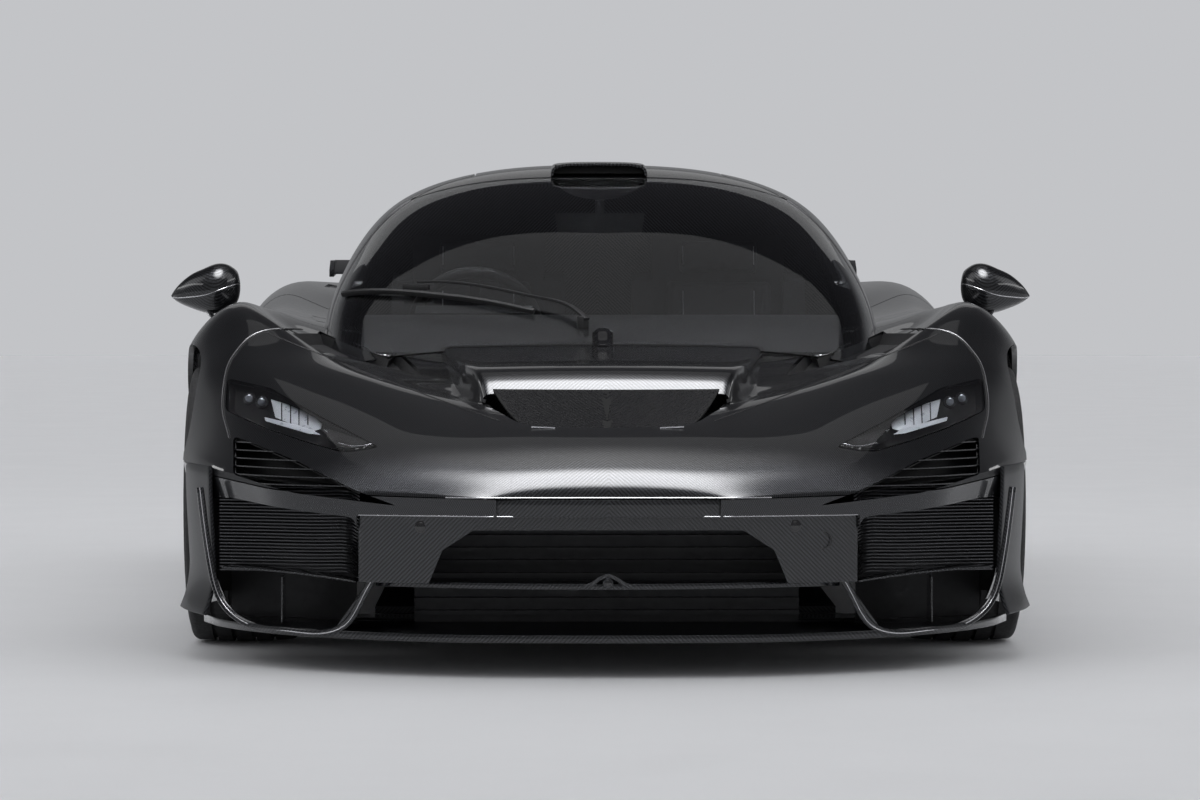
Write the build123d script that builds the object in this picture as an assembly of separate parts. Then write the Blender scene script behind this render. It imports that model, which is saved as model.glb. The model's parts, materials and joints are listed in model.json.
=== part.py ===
"""A low two-seat mid-engined hypercar in bare carbon fibre, as an assembly of separate pieces.

Frame: millimetres, X to the car's left, Y to the back, Z up, nose towards -Y. The origin is on the
ground, half way along the car. The body skin is three hull lofts (nose, doors, tail) and one canopy
loft, hollowed and cut where the real panels meet. Pieces that are alike on the two sides share a
node, unless they move apart.
"""
import os

from build123d import *

os.makedirs("parts", exist_ok=True)

# ---- driving dimensions, mm -------------------------------------------------------------------
length = 4635
half_width = 1030
wheelbase = 2680
front_overhang = 1080
sill_z = 112                    # underside of the body
lip_z, lip_thick = 96, 18       # top and thickness of the front floor lip
shut_face = 8                   # tub flange that the tail is bolted to, behind the doors
side_lean = 45                  # how far the sides lean in towards the sill
skin = 34                       # body panels, outer skin to inner skin
door_thick = 70
canopy_skin = 42
glass = 6
gap = 5                         # shut lines between panels
seat_gap = 0.3                  # pieces that rest on each other

tyre_front_r, tyre_front_w = 334, 265
tyre_rear_r, tyre_rear_w = 355, 335
rim_front_r, rim_rear_r = 241, 254
track_front_half, track_rear_half = 865, 845
arch_room = 50                  # tyre to arch
arch_depth = 165                # how far the arch cut reaches in from the side
kingpin_x = 775
hub_bore_r = 34
hub_clearance = 0.05
disc_r, disc_w = 190, 34

hinge_x, hinge_z = 335, 1190    # roof hinge line of each door
belt_z = 600                    # bottom of the canopy loft, under the shoulder
door_foot_z = 236
sill_inset = 76                 # outer skin to the tub's sill
header_dy = 1215                # windscreen's top edge, behind the front axle
pillar_w = 60                   # windscreen pillar, seen from the side

front_end = -length / 2
rear_end = length / 2
axle_front = front_end + front_overhang
axle_rear = axle_front + wheelbase
door_front = axle_front + 600
door_rear = axle_rear - 990
tail_end = axle_rear + 800
arch_front_r = tyre_front_r + arch_room
arch_rear_r = tyre_rear_r + arch_room
far = 3000                      # beyond the car on any side

# Outer skin stations of the hull. dy is from the named axle; tuck is how far the side is inside
# half_width. Columns: dy, side tuck, side z, mid tuck, mid z, crest tuck, crest z, valley x,
# valley z, centre z.
nose_rows = [
    (-1070, 730, 404, 800, 428, 900, 440, 60, 442, 443),
    (-1000, 470, 410, 600, 456, 800, 484, 110, 489, 491),
    (-830, 230, 428, 410, 505, 760, 545, 140, 549, 551),
    (-560, 80, 448, 230, 590, 620, 610, 200, 602, 596),
    (-260, 20, 470, 95, 668, 330, 702, 350, 652, 632),
    (0, 0, 520, 40, 728, 180, 808, 520, 702, 665),
    (340, 5, 560, 45, 738, 175, 806, 560, 728, 702),
    (600, 30, 560, 70, 722, 185, 796, 560, 738, 716),
]
door_rows = [
    (600, 30, 560, 70, 722, 185, 796, 560, 738, 716),
    (1140, 95, 520, 105, 690, 198, 790, 560, 742, 722),
    (1690, 40, 560, 70, 735, 178, 822, 560, 752, 730),
]
tail_rows = [
    (-990, 40, 560, 70, 735, 178, 822, 560, 752, 730),
    (-440, 15, 590, 50, 758, 170, 848, 560, 800, 790),
    (0, 0, 600, 35, 770, 175, 852, 560, 822, 815),
    (480, 35, 640, 72, 785, 200, 846, 560, 838, 835),
    (800, 110, 690, 140, 800, 270, 838, 500, 836, 835),
]
# Canopy stations, dy from the front axle. Columns: dy, base half width, side x, side z, corner x,
# corner z, roof edge x, roof edge z, roof top z.
canopy_rows = [
    (200, 665, 630, 655, 575, 675, 490, 688, 702),
    (540, 715, 688, 745, 638, 812, 530, 844, 872),
    (890, 735, 690, 835, 612, 940, 460, 1003, 1036),
    (1240, 748, 672, 900, 572, 1040, 420, 1108, 1142),
    (1540, 748, 655, 910, 545, 1068, 370, 1146, 1178),
    (2000, 720, 600, 900, 485, 1046, 320, 1118, 1152),
    (2500, 600, 470, 870, 385, 972, 255, 1026, 1056),
    (3150, 400, 290, 800, 240, 850, 170, 878, 894),
    (3430, 320, 250, 760, 205, 792, 150, 812, 822),
]
# Raised centre of the bonnet over its air mouth, dy from the front axle. Columns: dy, half width,
# shoulder drop, top z.
bridge_rows = [
    (-565, 292, 14, 632),
    (-300, 330, 14, 668),
    (0, 395, 16, 708),
    (330, 500, 18, 752),
]
# How far the door's upper front edge is from its hinge line. Columns: dy from the front axle, radius.
pillar_rows = [(595, 560), (887, 425), (1137, 268), (1337, 90), (1400, 24)]


# ---- helpers ----------------------------------------------------------------------------------
def path(points, place):
    """Edges through points, where a pair of points is an arc's middle and end."""
    edges, last = [], points[0]
    for step in points[1:]:
        if isinstance(step[0], tuple):
            via, end = step
            edges.append(ThreePointArc(place(*last), place(*via), place(*end)))
        else:
            end = step
            edges.append(Line(place(*last), place(*end)))
        last = end
    return edges


def outlined(outline, place):
    """The flat face inside an outline, closed by a line if its last arc does not close it."""
    shut = isinstance(outline[-1][0], tuple) and outline[-1][1] == outline[0]
    return Face(Wire(path(outline if shut else outline + [outline[0]], place)))


def prism(along, low, high, outline):
    """A solid along x, y or z from low to high; its outline lies in the other two axes, in order."""
    place = {"x": lambda a, b: (low, a, b), "y": lambda a, b: (a, low, b), "z": lambda a, b: (a, b, low)}
    face = outlined(outline, place[along])
    return Solid.extrude(face, Vector(*[(high - low) * (along == axis) for axis in "xyz"]))


def block(x0, x1, y0, y1, z0, z1):
    """A box between coordinates."""
    return prism("z", z0, z1, [(x0, y0), (x1, y0), (x1, y1), (x0, y1)])


def rod(start, end, radius):
    """A round bar between two points."""
    start, end = Vector(*start), Vector(*end)
    return Solid.make_cylinder(radius, (end - start).length, Plane(start, z_dir=end - start))


def turned(profile, x, y, z):
    """A solid of revolution about a line along X through a point; profile is (x offset, radius)."""
    face = outlined(profile, lambda a, r: (a, r, 0))
    return Pos(x, y, z) * Solid.revolve(face, 360, Axis.X)


def flip(shape):
    """A shape's mirror image on the other side of the car."""
    return shape.mirror(Plane.YZ)


def twin(shape):
    """A shape and its mirror image."""
    return [shape, flip(shape)]


def solids(shape):
    """The solids of one shape or of a list of shapes."""
    return [s for item in (shape if isinstance(shape, list) else [shape]) for s in item.solids()]


def fuse(*shapes):
    """One shape from several that meet."""
    first, *rest = [s for shape in shapes for s in solids(shape)]
    return first.fuse(*rest) if rest else first


def cut(shape, *tools):
    """A shape, or a list of shapes, less others."""
    base, takers = solids(shape), [s for tool in tools for s in solids(tool)]
    left = [piece.cut(*takers) for piece in base]
    return Compound([s for piece in left for s in solids(piece)])


def common(shape, tool):
    """What a shape, or a list of shapes, shares with another."""
    found = [piece.intersect(t) for piece in solids(shape) for t in solids(tool)]
    return Compound([s for item in found if item for s in solids(item if isinstance(item, list) else item)])


def ring(y, half):
    """A closed wire in the plane of a station, from the left half of its outline, bottom to top."""
    ends = [step[1] if isinstance(step[0], tuple) else step for step in half]
    back = [ends[-1]]
    for i in range(len(half) - 1, 0, -1):
        back.append((half[i][0], ends[i - 1]) if isinstance(half[i][0], tuple) else ends[i - 1])
    return Wire(path(half, lambda x, z: (x, y, z)) + path(back, lambda x, z: (-x, y, z)))


def hull(rows, axle, inset=0, below=0, first=0, last=0, floor=sill_z):
    """The closed loft through a table of hull stations. inset shrinks it all round for an inner
    skin, below lowers its floor, and first and last move its end stations along Y."""
    rings = []
    for i, (dy, tuck, zw, m_tuck, mz, c_tuck, zc, xv, zv, zm) in enumerate(rows):
        y = axle + dy + first * (i == 0) + last * (i == len(rows) - 1)
        side = half_width - tuck - inset
        rings.append(ring(y, [
            (0, floor - below), (side - side_lean, floor - below), (side, zw - inset * 0.3),
            ((half_width - m_tuck - inset * 0.75, mz - inset * 0.6),
             (half_width - c_tuck - inset * 0.3, zc - inset)),
            ((xv, zv - inset), (0, zm - inset)),
        ]))
    return Solid.make_loft(rings)


def canopy(inset=0, below=0):
    """The closed loft of the glasshouse and its tail, inset all round for an inner skin."""
    rings = []
    for dy, xb, xs, zs, xc, zc, xr, zr, zt in canopy_rows:
        rings.append(ring(axle_front + dy + inset * 0.6, [
            (0, belt_z - below), (xb - inset, belt_z - below), (xs - inset, zs - inset * 0.2),
            ((xc - inset * 0.7, zc - inset * 0.7), (xr - inset * 0.3, zr - inset)),
            ((xr * 0.5, zt - inset - (zt - zr) * 0.26), (0, zt - inset)),
        ]))
    return Solid.make_loft(rings)


def bridge(inset=0, first=0):
    """The raised centre of the bonnet, down into the hull below it."""
    rings = []
    for i, (dy, half, drop, top) in enumerate(bridge_rows):
        edge = half - inset
        rings.append(ring(axle_front + dy + first * (i == 0), [
            (0, 520), (edge - 20, 520), (edge, top - drop - 20 - inset),
            ((edge - 6, top - drop - 5 - inset), (edge - 22, top - drop - inset)),
            ((edge * 0.5, top - drop * 0.3 - inset), (0, top - inset)),
        ]))
    return Solid.make_loft(rings)


def hinge_cone(closer):
    """Everything nearer to the left door's hinge line than its upper front edge."""
    outline = [(pillar_rows[0][0] - 500, 0), (pillar_rows[0][0] - 500, pillar_rows[0][1] + 230 - closer)]
    outline += [(dy, r - closer) for dy, r in pillar_rows if r > closer + 8]
    outline += [(outline[-1][0] + 40, 0)]
    face = outlined(outline, lambda dy, r: (hinge_x + r, axle_front + dy, hinge_z))
    return Solid.revolve(face, 360, Axis((hinge_x, 0, hinge_z), (0, 1, 0)))


parts = {}


def keep(name, *shapes):
    """Files a node's solids under its name."""
    parts[name] = [s for shape in shapes for s in solids(shape)]


# ---- shared skins -----------------------------------------------------------------------------
def nose_hull(inset=0, below=0, first=0, last=0):
    """The nose's loft, down to the floor lip."""
    return hull(nose_rows, axle_front, inset, below, first, last, lip_z + seat_gap)


seated = 2 * seat_gap           # extra inset of what lies against an inner skin
nose_out = nose_hull()
nose_in = nose_hull(skin, 60, skin, 12)
nose_inside = nose_hull(skin + seated, 60, skin + seated, 12)
nose_shell = cut(nose_out, nose_in)
door_out = hull(door_rows, axle_front)
door_in = hull(door_rows, axle_front, door_thick, 60, -12, 12)
tail_out = hull(tail_rows, axle_rear)
tail_in = hull(tail_rows, axle_rear, skin, 60, -12, 12)
tail_inside = hull(tail_rows, axle_rear, skin + seated, 60, -12, 12)
canopy_out = canopy()
canopy_clear = canopy(-seated)
canopy_in = canopy(canopy_skin, 60)
canopy_glass = canopy(glass, 60)

front_arches = twin(rod((half_width - arch_depth, axle_front, tyre_front_r),
                        (half_width + 60, axle_front, tyre_front_r), arch_front_r))
rear_arches = twin(rod((half_width - arch_depth, axle_rear, tyre_rear_r),
                       (half_width + 60, axle_rear, tyre_rear_r), arch_rear_r))

# the line where the bonnet panel ends above the bumper, seen from the side
clam_edge = [(front_end - 60, 398), (axle_front - arch_front_r, 454), (axle_front, 454),
             (axle_front + 250, sill_z + 20), (door_front + 60, sill_z + 20)]
above_edge = prism("x", -far, far, clam_edge + [(door_front + 60, 1300), (front_end - 60, 1300)])
below_edge = prism("x", -far, far, [(y, z - seat_gap) for y, z in clam_edge[:3]]
                   + [(axle_front, 0), (front_end - 60, 0)])

# openings in the nose, seen from the front, left side
lamp_outline = [(888, 652), (884, 566), (780, 536), (640, 512), (525, 512), (640, 556), (760, 606)]
slot_outline = [(905, 520), (700, 468), (480, 424), (370, 402), (480, 398), (700, 410), (880, 436)]
duct_outline = [(942, 372), (926, 290), (900, 180), (868, 122), (815, 98), (560, 98), (560, 366),
                (700, 380), (860, 392)]
lamps = twin(prism("y", front_end - 50, axle_front - 300, lamp_outline))
slots = twin(prism("y", front_end - 50, axle_front - 300, slot_outline))
ducts = twin(prism("y", front_end - 50, axle_front - 330, duct_outline))


# ---- nose -------------------------------------------------------------------------------------
fascia_z = 208                  # bottom of the centre fascia
duct_inner = [(478, 272), (596, lip_z + seat_gap)]


def front_clam():
    """Bonnet and front wings, one shell down to the bumper's edge."""
    y_front, y_mid, y_back = axle_front - 775, axle_front - 540, axle_front - 300
    mouth = prism("z", 480, 900, [(-205, y_front), (205, y_front), (300, y_mid), (330, y_back),
                                  (-330, y_back), (-300, y_mid)])
    rear_gap = block(-far, far, door_front - gap, door_front + 50, 0, 1300)
    return cut(common(nose_shell, above_edge), front_arches, lamps, slots, mouth, canopy_clear, rear_gap)


def bonnet_bridge(clam):
    """The raised panel between the bonnet's channels, open at its front."""
    return cut(cut(bridge(), bridge(20, -30), nose_out, canopy_clear), clam)


def bonnet_grille():
    """The slanted mesh plate in the bonnet's mouth."""
    front, back = axle_front - 790, axle_front - 600
    rail = common(block(-200, 200, front, front + 12, 480, 600), nose_inside)
    return fuse(prism("x", -235, 235, [(front, 488), (back, 562), (back, 568), (front, 494)]), rail)


def front_bumper():
    """The bar under the bonnet's edge and the two end plates outside the side ducts."""
    centre = block(-560, 560, front_end - 60, axle_front, -60, 360)
    return cut(common(nose_shell, below_edge), centre, slots, ducts, front_arches)


def front_fascia():
    """The set-back centre panel with the main air opening."""
    back = nose_hull(skin + 24, 60, skin + 24, 12)
    band = block(-556, 556, front_end, axle_front - 560, fascia_z, 375)
    opening = prism("y", front_end - 50, axle_front - 300, [(-402, 200), (402, 200), (368, 282), (300, 326),
                                                            (-300, 326), (-368, 282)])
    return cut(common(nose_inside, band), back, opening)


def splitter():
    """The floor lip under the nose, its edge following the nose in plan."""
    side = [(900, axle_front - 560), (940, axle_front - 420), (560, axle_front - 420),
            (520, axle_front - 360)]
    edge = [(-x, y) for x, y in side[::-1]]
    edge += [((-640, axle_front - 905), (-300, front_end + 18)), ((0, front_end), (300, front_end + 18)),
             ((640, axle_front - 905), side[0]), *side[1:]]
    return prism("z", lip_z - lip_thick, lip_z, edge)


def front_blade():
    """The thin cross blade under the main air opening."""
    (top_x, top_z), (foot_x, foot_z) = duct_inner
    half = top_x + (foot_x - top_x) * (top_z - fascia_z + seat_gap) / (top_z - foot_z) - seat_gap * 1.3
    edge = [(-half, axle_front - 760), (-half, axle_front - 905),
            ((0, front_end + 36), (half, axle_front - 905)), (half, axle_front - 760)]
    return prism("z", fascia_z - 14, fascia_z - seat_gap, edge)


def duct_blade():
    """The slanted blade at the left side duct's inner edge."""
    (top_x, top_z), (foot_x, foot_z) = duct_inner
    edge = [(top_x, top_z), (top_x + 12, top_z), (foot_x + 18, foot_z), (foot_x, foot_z)]
    return prism("y", front_end + 150, axle_front - 640, edge)


def radiator(start, end, low, high, depth):
    """A slatted heat exchanger standing between two plan points."""
    count = 8
    pitch = (high - low) / count

    def bar(near, away, z0, z1):
        return prism("z", z0, z1, [(start[0], start[1] + near), (end[0], end[1] + near),
                                   (end[0], end[1] + away), (start[0], start[1] + away)])

    slats = [bar(0, 24, low + i * pitch + 4, low + i * pitch + 14) for i in range(count)]
    return fuse(bar(20, depth, low, high), bar(depth - 20, depth, lip_z + seat_gap, low + 1), slats)


def headlight():
    """The left lamp's housing behind the bonnet's opening: a stepped dark tray."""
    y0, y1 = axle_front - 560, axle_front - 380
    tray = prism("z", 508, 640, [(520, y0 - 190), (900, y1 - 20), (900, y1), (520, y0 - 170)])
    shelf = prism("z", 508, 514, [(540, y0 - 196), (700, y0 - 170), (880, y1 - 80), (895, y1 - 20),
                                  (520, y0 - 182)])
    return common(fuse(tray, shelf), nose_inside)


def lamp_cover():
    """The left lamp's clear cover, flush with the bonnet."""
    return cut(common(nose_out, lamps[0]), nose_hull(glass, 60, glass, 12))


clam = front_clam()
keep("front_clam", clam)
keep("bonnet_bridge", bonnet_bridge(clam))
keep("bonnet_grille", bonnet_grille())
keep("front_bumper", front_bumper())
keep("front_fascia", front_fascia())
keep("splitter", splitter())
keep("front_blade", front_blade())
keep("duct_blades", twin(duct_blade()))
keep("radiators", twin(radiator((575, axle_front - 640), (872, axle_front - 500), 212, 390, 50)),
     radiator((-440, axle_front - 700), (440, axle_front - 700), 110, 340, 46))
keep("headlight_housings", twin(headlight()))
keep("headlight_lenses", twin(lamp_cover()))


# ---- doors ------------------------------------------------------------------------------------
window_side = [(door_front + 60, 822), (door_rear - 150, 842), (door_rear - 200, 960),
               ((door_rear - 330, 1075), (door_rear - 480, 1092)), (door_front + 60, 1092)]
window_zone = cut(prism("x", 150, 742, window_side), hinge_cone(-55))
left_side = block(hinge_x + gap / 2, far, door_front, door_rear - gap, door_foot_z, 1300)
upper_side = common(canopy_out, left_side)


def door():
    """The left door: sill to roof hinge, with its window opening."""
    outer = fuse(common(door_out, left_side), upper_side)
    return cut(cut(outer, door_in, canopy_in), hinge_cone(-gap), window_zone)


def window():
    """The left door's glass, flush with the outer skin."""
    return common(cut(upper_side, canopy_glass), window_zone)


def mirror():
    """The left door mirror: pointed housing on a thin stalk."""
    y = door_front + 100
    face = [(952, 842), ((968, 882), (1018, 884)), ((1066, 880), (1104, 846)), ((1070, 806), (1020, 798)),
            ((966, 800), (952, 842))]
    plan = [(948, y + 60), (952, y - 40), ((1010, y - 92), (1108, y + 10)), (1106, y + 60)]
    shell = common(prism("y", y - 120, y + 60, face), prism("z", 780, 900, plan))
    stalk = prism("y", y - 12, y + 22, [(905, 745), (930, 760), (1000, 806), (985, 822), (908, 774)])
    return cut(fuse(shell, stalk), parts["door_left"])


def mirror_glass():
    """The left mirror's glass."""
    y = door_front + 160.3
    face = [(960, 842), ((974, 874), (1018, 876)), ((1058, 873), (1092, 845)), ((1062, 813), (1020, 806)),
            ((972, 809), (960, 842))]
    return prism("y", y, y + 3, face)


keep("door_left", door())
keep("window_left", window())
keep("mirror_left", mirror())
keep("mirror_glass_left", mirror_glass())
for piece in ("door", "window", "mirror", "mirror_glass"):
    keep(f"{piece}_right", flip(Compound(parts[f"{piece}_left"])))


# ---- cabin shell ------------------------------------------------------------------------------
def screen_zone(closer, header):
    """Where the windscreen lies: ahead of the header and inside both pillars."""
    y0, y1 = axle_front, axle_front + header
    side = common(hinge_cone(closer), block(hinge_x, far, y0, y1, 690, far))
    return fuse(block(-hinge_x, hinge_x, y0, y1, 690, far), side, flip(side))


front_zone = screen_zone(pillar_w, header_dy)


def windscreen():
    """The screen, down to just under the bonnet."""
    front = common(canopy_out, block(-far, far, axle_front, axle_front + header_dy, 690, far))
    return common(cut(front, canopy_glass, nose_in, door_in), front_zone)


def cabin_frame():
    """Roof centre, screen header and pillars, between the doors."""
    band = common(canopy_out, block(-far, far, axle_front + 330, door_rear - seat_gap, 720, far))
    beyond = block(hinge_x - gap / 2, far, door_front - 20, door_rear, 0, far)
    side = cut(beyond, hinge_cone(gap / 2))
    header = axle_front + header_dy
    scoop = prism("y", header + 60, door_rear - seat_gap, [(-129, 1150), (129, 1150), (118, 1178),
                                                           ((0, 1182), (-118, 1178))])
    mouth = prism("y", header, header + 200,
                  [(-117, 1156), (117, 1156), (108, 1172), ((0, 1175), (-108, 1172))])
    shell = cut(band, canopy_in, nose_out, door_out, front_zone, side, flip(side))
    return cut(fuse(shell, cut(scoop, canopy_in)), mouth)


def tub():
    """Floor, sills, nose box and rear wall of the moulded cell that the cabin sits in."""
    inside = hull(door_rows, axle_front, sill_inset, 60, -12, 12)
    sill = common(inside, block(640, far, door_front + 20, door_rear, sill_z, 372))
    floor = block(-640, 640, door_front + 20, door_rear, sill_z, sill_z + 40)
    toe = block(-520, 520, axle_front + 250, door_front + 20, sill_z, sill_z + 40)
    nose = cut(block(-400, 400, axle_front - 260, axle_front + 290, sill_z, 560),
               block(-360, 360, axle_front - 220, axle_front + 250, sill_z + 40, far))
    bulkhead = block(-520, 520, axle_front + 250, axle_front + 290, sill_z, 600)
    wall = common(block(-far, far, door_rear, door_rear + 30, sill_z, far),
                  fuse(hull(tail_rows, axle_rear, skin + 2), canopy(canopy_skin + 10)))
    flange = common(block(-far, far, door_rear, door_rear + shut_face - seat_gap, sill_z, far),
                    fuse(hull(tail_rows, axle_rear, skin * 0.6), canopy(canopy_skin * 0.6)))
    strikers = twin(rod((half_width - 92, door_rear - gap + seat_gap, 520),
                        (half_width - 92, door_rear + 2, 520), 9))
    pads = [rod((x, y, sill_z - 12), (x, y, sill_z + 5), 38) for x in (-700, 700)
            for y in (door_front + 160, door_rear - 60)]
    return fuse(floor, sill, flip(sill), toe, nose, bulkhead, wall, flange, strikers, pads)


keep("windscreen", windscreen())
keep("cabin_frame", cabin_frame())
keep("tub", tub())


# ---- sides and tail ---------------------------------------------------------------------------
lid_front, lid_rear, lid_half = axle_rear - 700, axle_rear + 260, 262
lid_skin = 22
lid_hinge_z = 1156
pipe_r = 55
rear_frame = 380                # half width of the rear subframe


def skirt():
    """The left sill panel under the door, with a thin blade along its foot."""
    panel = common(door_out, block(500, far, door_front, door_rear - gap, sill_z, door_foot_z - gap))
    middle = (door_front + door_rear) / 2
    blade = prism("z", sill_z - 6, sill_z + 6,
                  [(884, door_front), (968, door_front), ((945, middle), (1000, door_rear - gap)),
                   (884, door_rear - gap)])
    return fuse(cut(panel, hull(door_rows, axle_front, sill_inset - seated, 60, -12, 12)), blade)


def rear_clam():
    """Rear wings, haunches and canopy tail in one shell, open over the engine and at the back."""
    upper = common(canopy_out, block(-far, far, door_rear, tail_end, 600, far))
    outer = fuse(tail_out, upper)
    intake = [(door_rear + 34, 700), (door_rear + 270, 690), ((door_rear + 236, 520), (door_rear + 250, 380)),
              (door_rear + 34, 330)]
    intakes = twin(prism("x", 780, far, intake))
    top = block(-lid_half - gap, lid_half + gap, lid_front - gap, lid_rear + gap, 700, far)
    under = prism("x", -far, far, [(axle_rear + 300, -60), (axle_rear + 300, 165), (tail_end + 20, 330),
                                   (tail_end + 20, -60)])
    ahead = block(-far, far, door_rear - far, door_rear + shut_face, -60, far)
    lugs = twin(block(150, 190, lid_front - gap - 1, lid_front - seat_gap,
                      lid_hinge_z - 34, lid_hinge_z - 16))
    return fuse(cut(outer, tail_in, canopy_in, rear_arches, intakes, top, under, ahead), lugs)


def engine_cover():
    """The louvred lid in the canopy's tail, hinged at its front."""
    lid = common(canopy_out, block(-lid_half, lid_half, lid_front, lid_rear, 700, far))
    slots = [block(-190, 190, y, y + 34, 600, far)
             for y in range(int(lid_front) + 150, int(lid_rear) - 90, 78)]
    return cut(lid, canopy(lid_skin, 60), slots)


def intake_screens():
    """The left side intake's duct, with slats across its inner end."""
    y0, y1 = door_rear + 40, door_rear + 276
    duct = cut(common(block(800, far, y0 - 6, y1 + 6, 322, 706), tail_inside),
               block(780, far, y0, y1, 328, 700))
    slats = [block(800, 808, y0 - 2, y1 + 2, z, z + 8) for z in range(360, 700, 48)]
    return fuse(duct, slats)


def tail_panel():
    """The upright panel across the tail, with holes for the exhausts and number plate screws."""
    panel = common(tail_inside, block(-far, far, tail_end - 46, tail_end - 30, 330, far))
    exhausts = [rod((x, tail_end - 90, 590), (x, tail_end, 590), pipe_r + seat_gap) for x in (-66, 66)]
    screws = [rod((x, tail_end - 90, 430), (x, tail_end, 430), 3) for x in (-75, 75)]
    return cut(panel, exhausts, screws)


def rear_wing():
    """The wing blade over the tail, with its end plates and two struts."""
    y0 = tail_end - 290
    blade = prism("x", -800, 800, [(y0, 876), ((y0 + 130, 908), (tail_end + 58, 898)), (tail_end + 58, 890),
                                   ((y0 + 130, 890), (y0, 870))])
    ends = twin(prism("x", 794, 808, [(y0 - 10, 862), (tail_end + 62, 876), (tail_end + 62, 912),
                                      (y0 + 60, 912), (y0 - 10, 884)]))
    struts = twin(prism("x", 268, 284, [(y0 + 60, 800), (y0 + 160, 800), (y0 + 175, 893), (y0 + 85, 893)]))
    return cut(fuse(blade, ends, struts), tail_out, canopy_out)


def diffuser():
    """The rising floor behind the rear axle, with its upright strakes."""
    y0, y1 = axle_rear + 170, rear_end
    plate = prism("x", -620, 620, [(y0, sill_z), ((y0 + 300, sill_z + 60), (y1, 300)), (y1, 312),
                                   ((y0 + 300, sill_z + 74), (y0, sill_z + 12))])
    under = [(y0 + 60, sill_z + 6), ((y0 + 300, sill_z + 64), (y1, 306)), (y1 - 50, 165), (y0 + 120, sill_z)]
    strakes = [prism("x", x - 4, x + 4, under) for x in (-560, -390, -230, -80, 80, 230, 390, 560)]
    return fuse(plate, strakes)


def undertray():
    """The flat floor ahead of the front axle and under the engine."""
    front = block(-540, 540, axle_front - 410, axle_front + 249, lip_z + seat_gap, sill_z - seat_gap)
    rear = block(-620, 620, door_rear + 30 + seat_gap, axle_rear + 170 - seat_gap, sill_z, sill_z + 10)
    return [front, rear]


def tail_light():
    """The left blade lamp, standing on the tail panel."""
    edge = [(330, 770), (640, 776), (838, 742), (858, 690), (872, 690), (862, 752), (640, 792), (330, 786)]
    return prism("y", tail_end - 29.7, tail_end - 14, edge)


def exhaust_tips():
    """Two round pipes through the tail panel."""
    return [cut(rod((x, tail_end - 160, 590), (x, tail_end - 6, 590), pipe_r),
                rod((x, tail_end - 140, 590), (x, tail_end, 590), pipe_r - 6)) for x in (-66, 66)]


def arch_liner(side_room, rise, radius, x0, axle, inside):
    """A curved liner over a left wheel, out to the body's inner skin."""
    lift = 6
    outline = [(axle - radius - side_room, 150), (axle - radius - side_room, radius),
               ((axle - (radius + side_room) * 0.72, radius + (radius + rise) * 0.69),
                (axle, 2 * radius + rise)),
               ((axle + (radius + side_room) * 0.72, radius + (radius + rise) * 0.69),
                (axle + radius + side_room, radius)), (axle + radius + side_room, 150),
               (axle + radius + side_room + lift, 150), (axle + radius + side_room + lift, radius),
               ((axle + (radius + side_room) * 0.72 + lift, radius + (radius + rise) * 0.69 + lift),
                (axle, 2 * radius + rise + lift)),
               ((axle - (radius + side_room) * 0.72 - lift, radius + (radius + rise) * 0.69 + lift),
                (axle - radius - side_room - lift, radius)), (axle - radius - side_room - lift, 150)]
    return common(prism("x", x0, half_width, outline), inside)


def engine():
    """The engine and gearbox as one plain block."""
    front = door_rear + 30 + seat_gap
    block_top = prism("x", -240, 240, [(front, 150), (front, 640), (door_rear + 170, 720),
                                       (door_rear + 640, 660), (door_rear + 700, 560),
                                       (door_rear + 700, 150)])
    frame = block(-rear_frame, rear_frame, axle_rear - 165, axle_rear + 165,
                  tyre_rear_r - 118, tyre_rear_r + 118)
    gearbox = block(-150, 150, door_rear + 700, axle_rear + 240, 190, 460)
    heads = twin(block(240, 330, door_rear + 130, door_rear + 640, 380, 560))
    return fuse(block_top, gearbox, heads, frame)


keep("side_skirts", twin(skirt()))
keep("rear_clam", rear_clam())
keep("engine_cover", engine_cover())
keep("intake_screens", twin(intake_screens()))
keep("tail_panel", tail_panel())
keep("tail_lights", twin(tail_light()))
keep("exhaust_tips", exhaust_tips())
keep("rear_wing", rear_wing())
keep("diffuser", diffuser())
keep("undertray", undertray())
keep("arch_liners", twin(arch_liner(78, 22, tyre_front_r, 690, axle_front, nose_inside)),
     twin(arch_liner(arch_room, arch_room, tyre_rear_r, 650, axle_rear, tail_inside)))
keep("engine", engine())


# ---- inside -----------------------------------------------------------------------------------
seat_x = 325
wheel_at = (-seat_x, axle_front + 862, 735)
column = (0, 0.927, 0.375)
column_r = 26


def along(distance):
    """A point on the steering column's line, from the wheel's middle."""
    return tuple(at + distance * step for at, step in zip(wheel_at, column))


def seat():
    """The left seat: pan, backrest and side bolsters in one shell."""
    y = axle_front + 820
    middle = [(y, sill_z + 60), (y - 10, 330), ((y + 180, 296), (y + 450, 262)),
              ((y + 540, 500), (y + 640, 880)), (y + 670, 985), (y + 730, 985),
              ((y + 640, 560), (y + 560, sill_z + 60))]
    sides = [(y + 30, sill_z + 60), (y + 20, 380), ((y + 230, 372), (y + 400, 420)),
             ((y + 500, 600), (y + 610, 860)), (y + 710, 880), ((y + 630, 560), (y + 560, sill_z + 60))]
    return fuse(prism("x", seat_x - 180, seat_x + 180, middle),
                prism("x", seat_x - 235, seat_x - 175, sides),
                prism("x", seat_x + 175, seat_x + 235, sides),
                block(seat_x - 150, seat_x + 150, y + 60, y + 540, sill_z + 40 + seat_gap, sill_z + 70))


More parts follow.
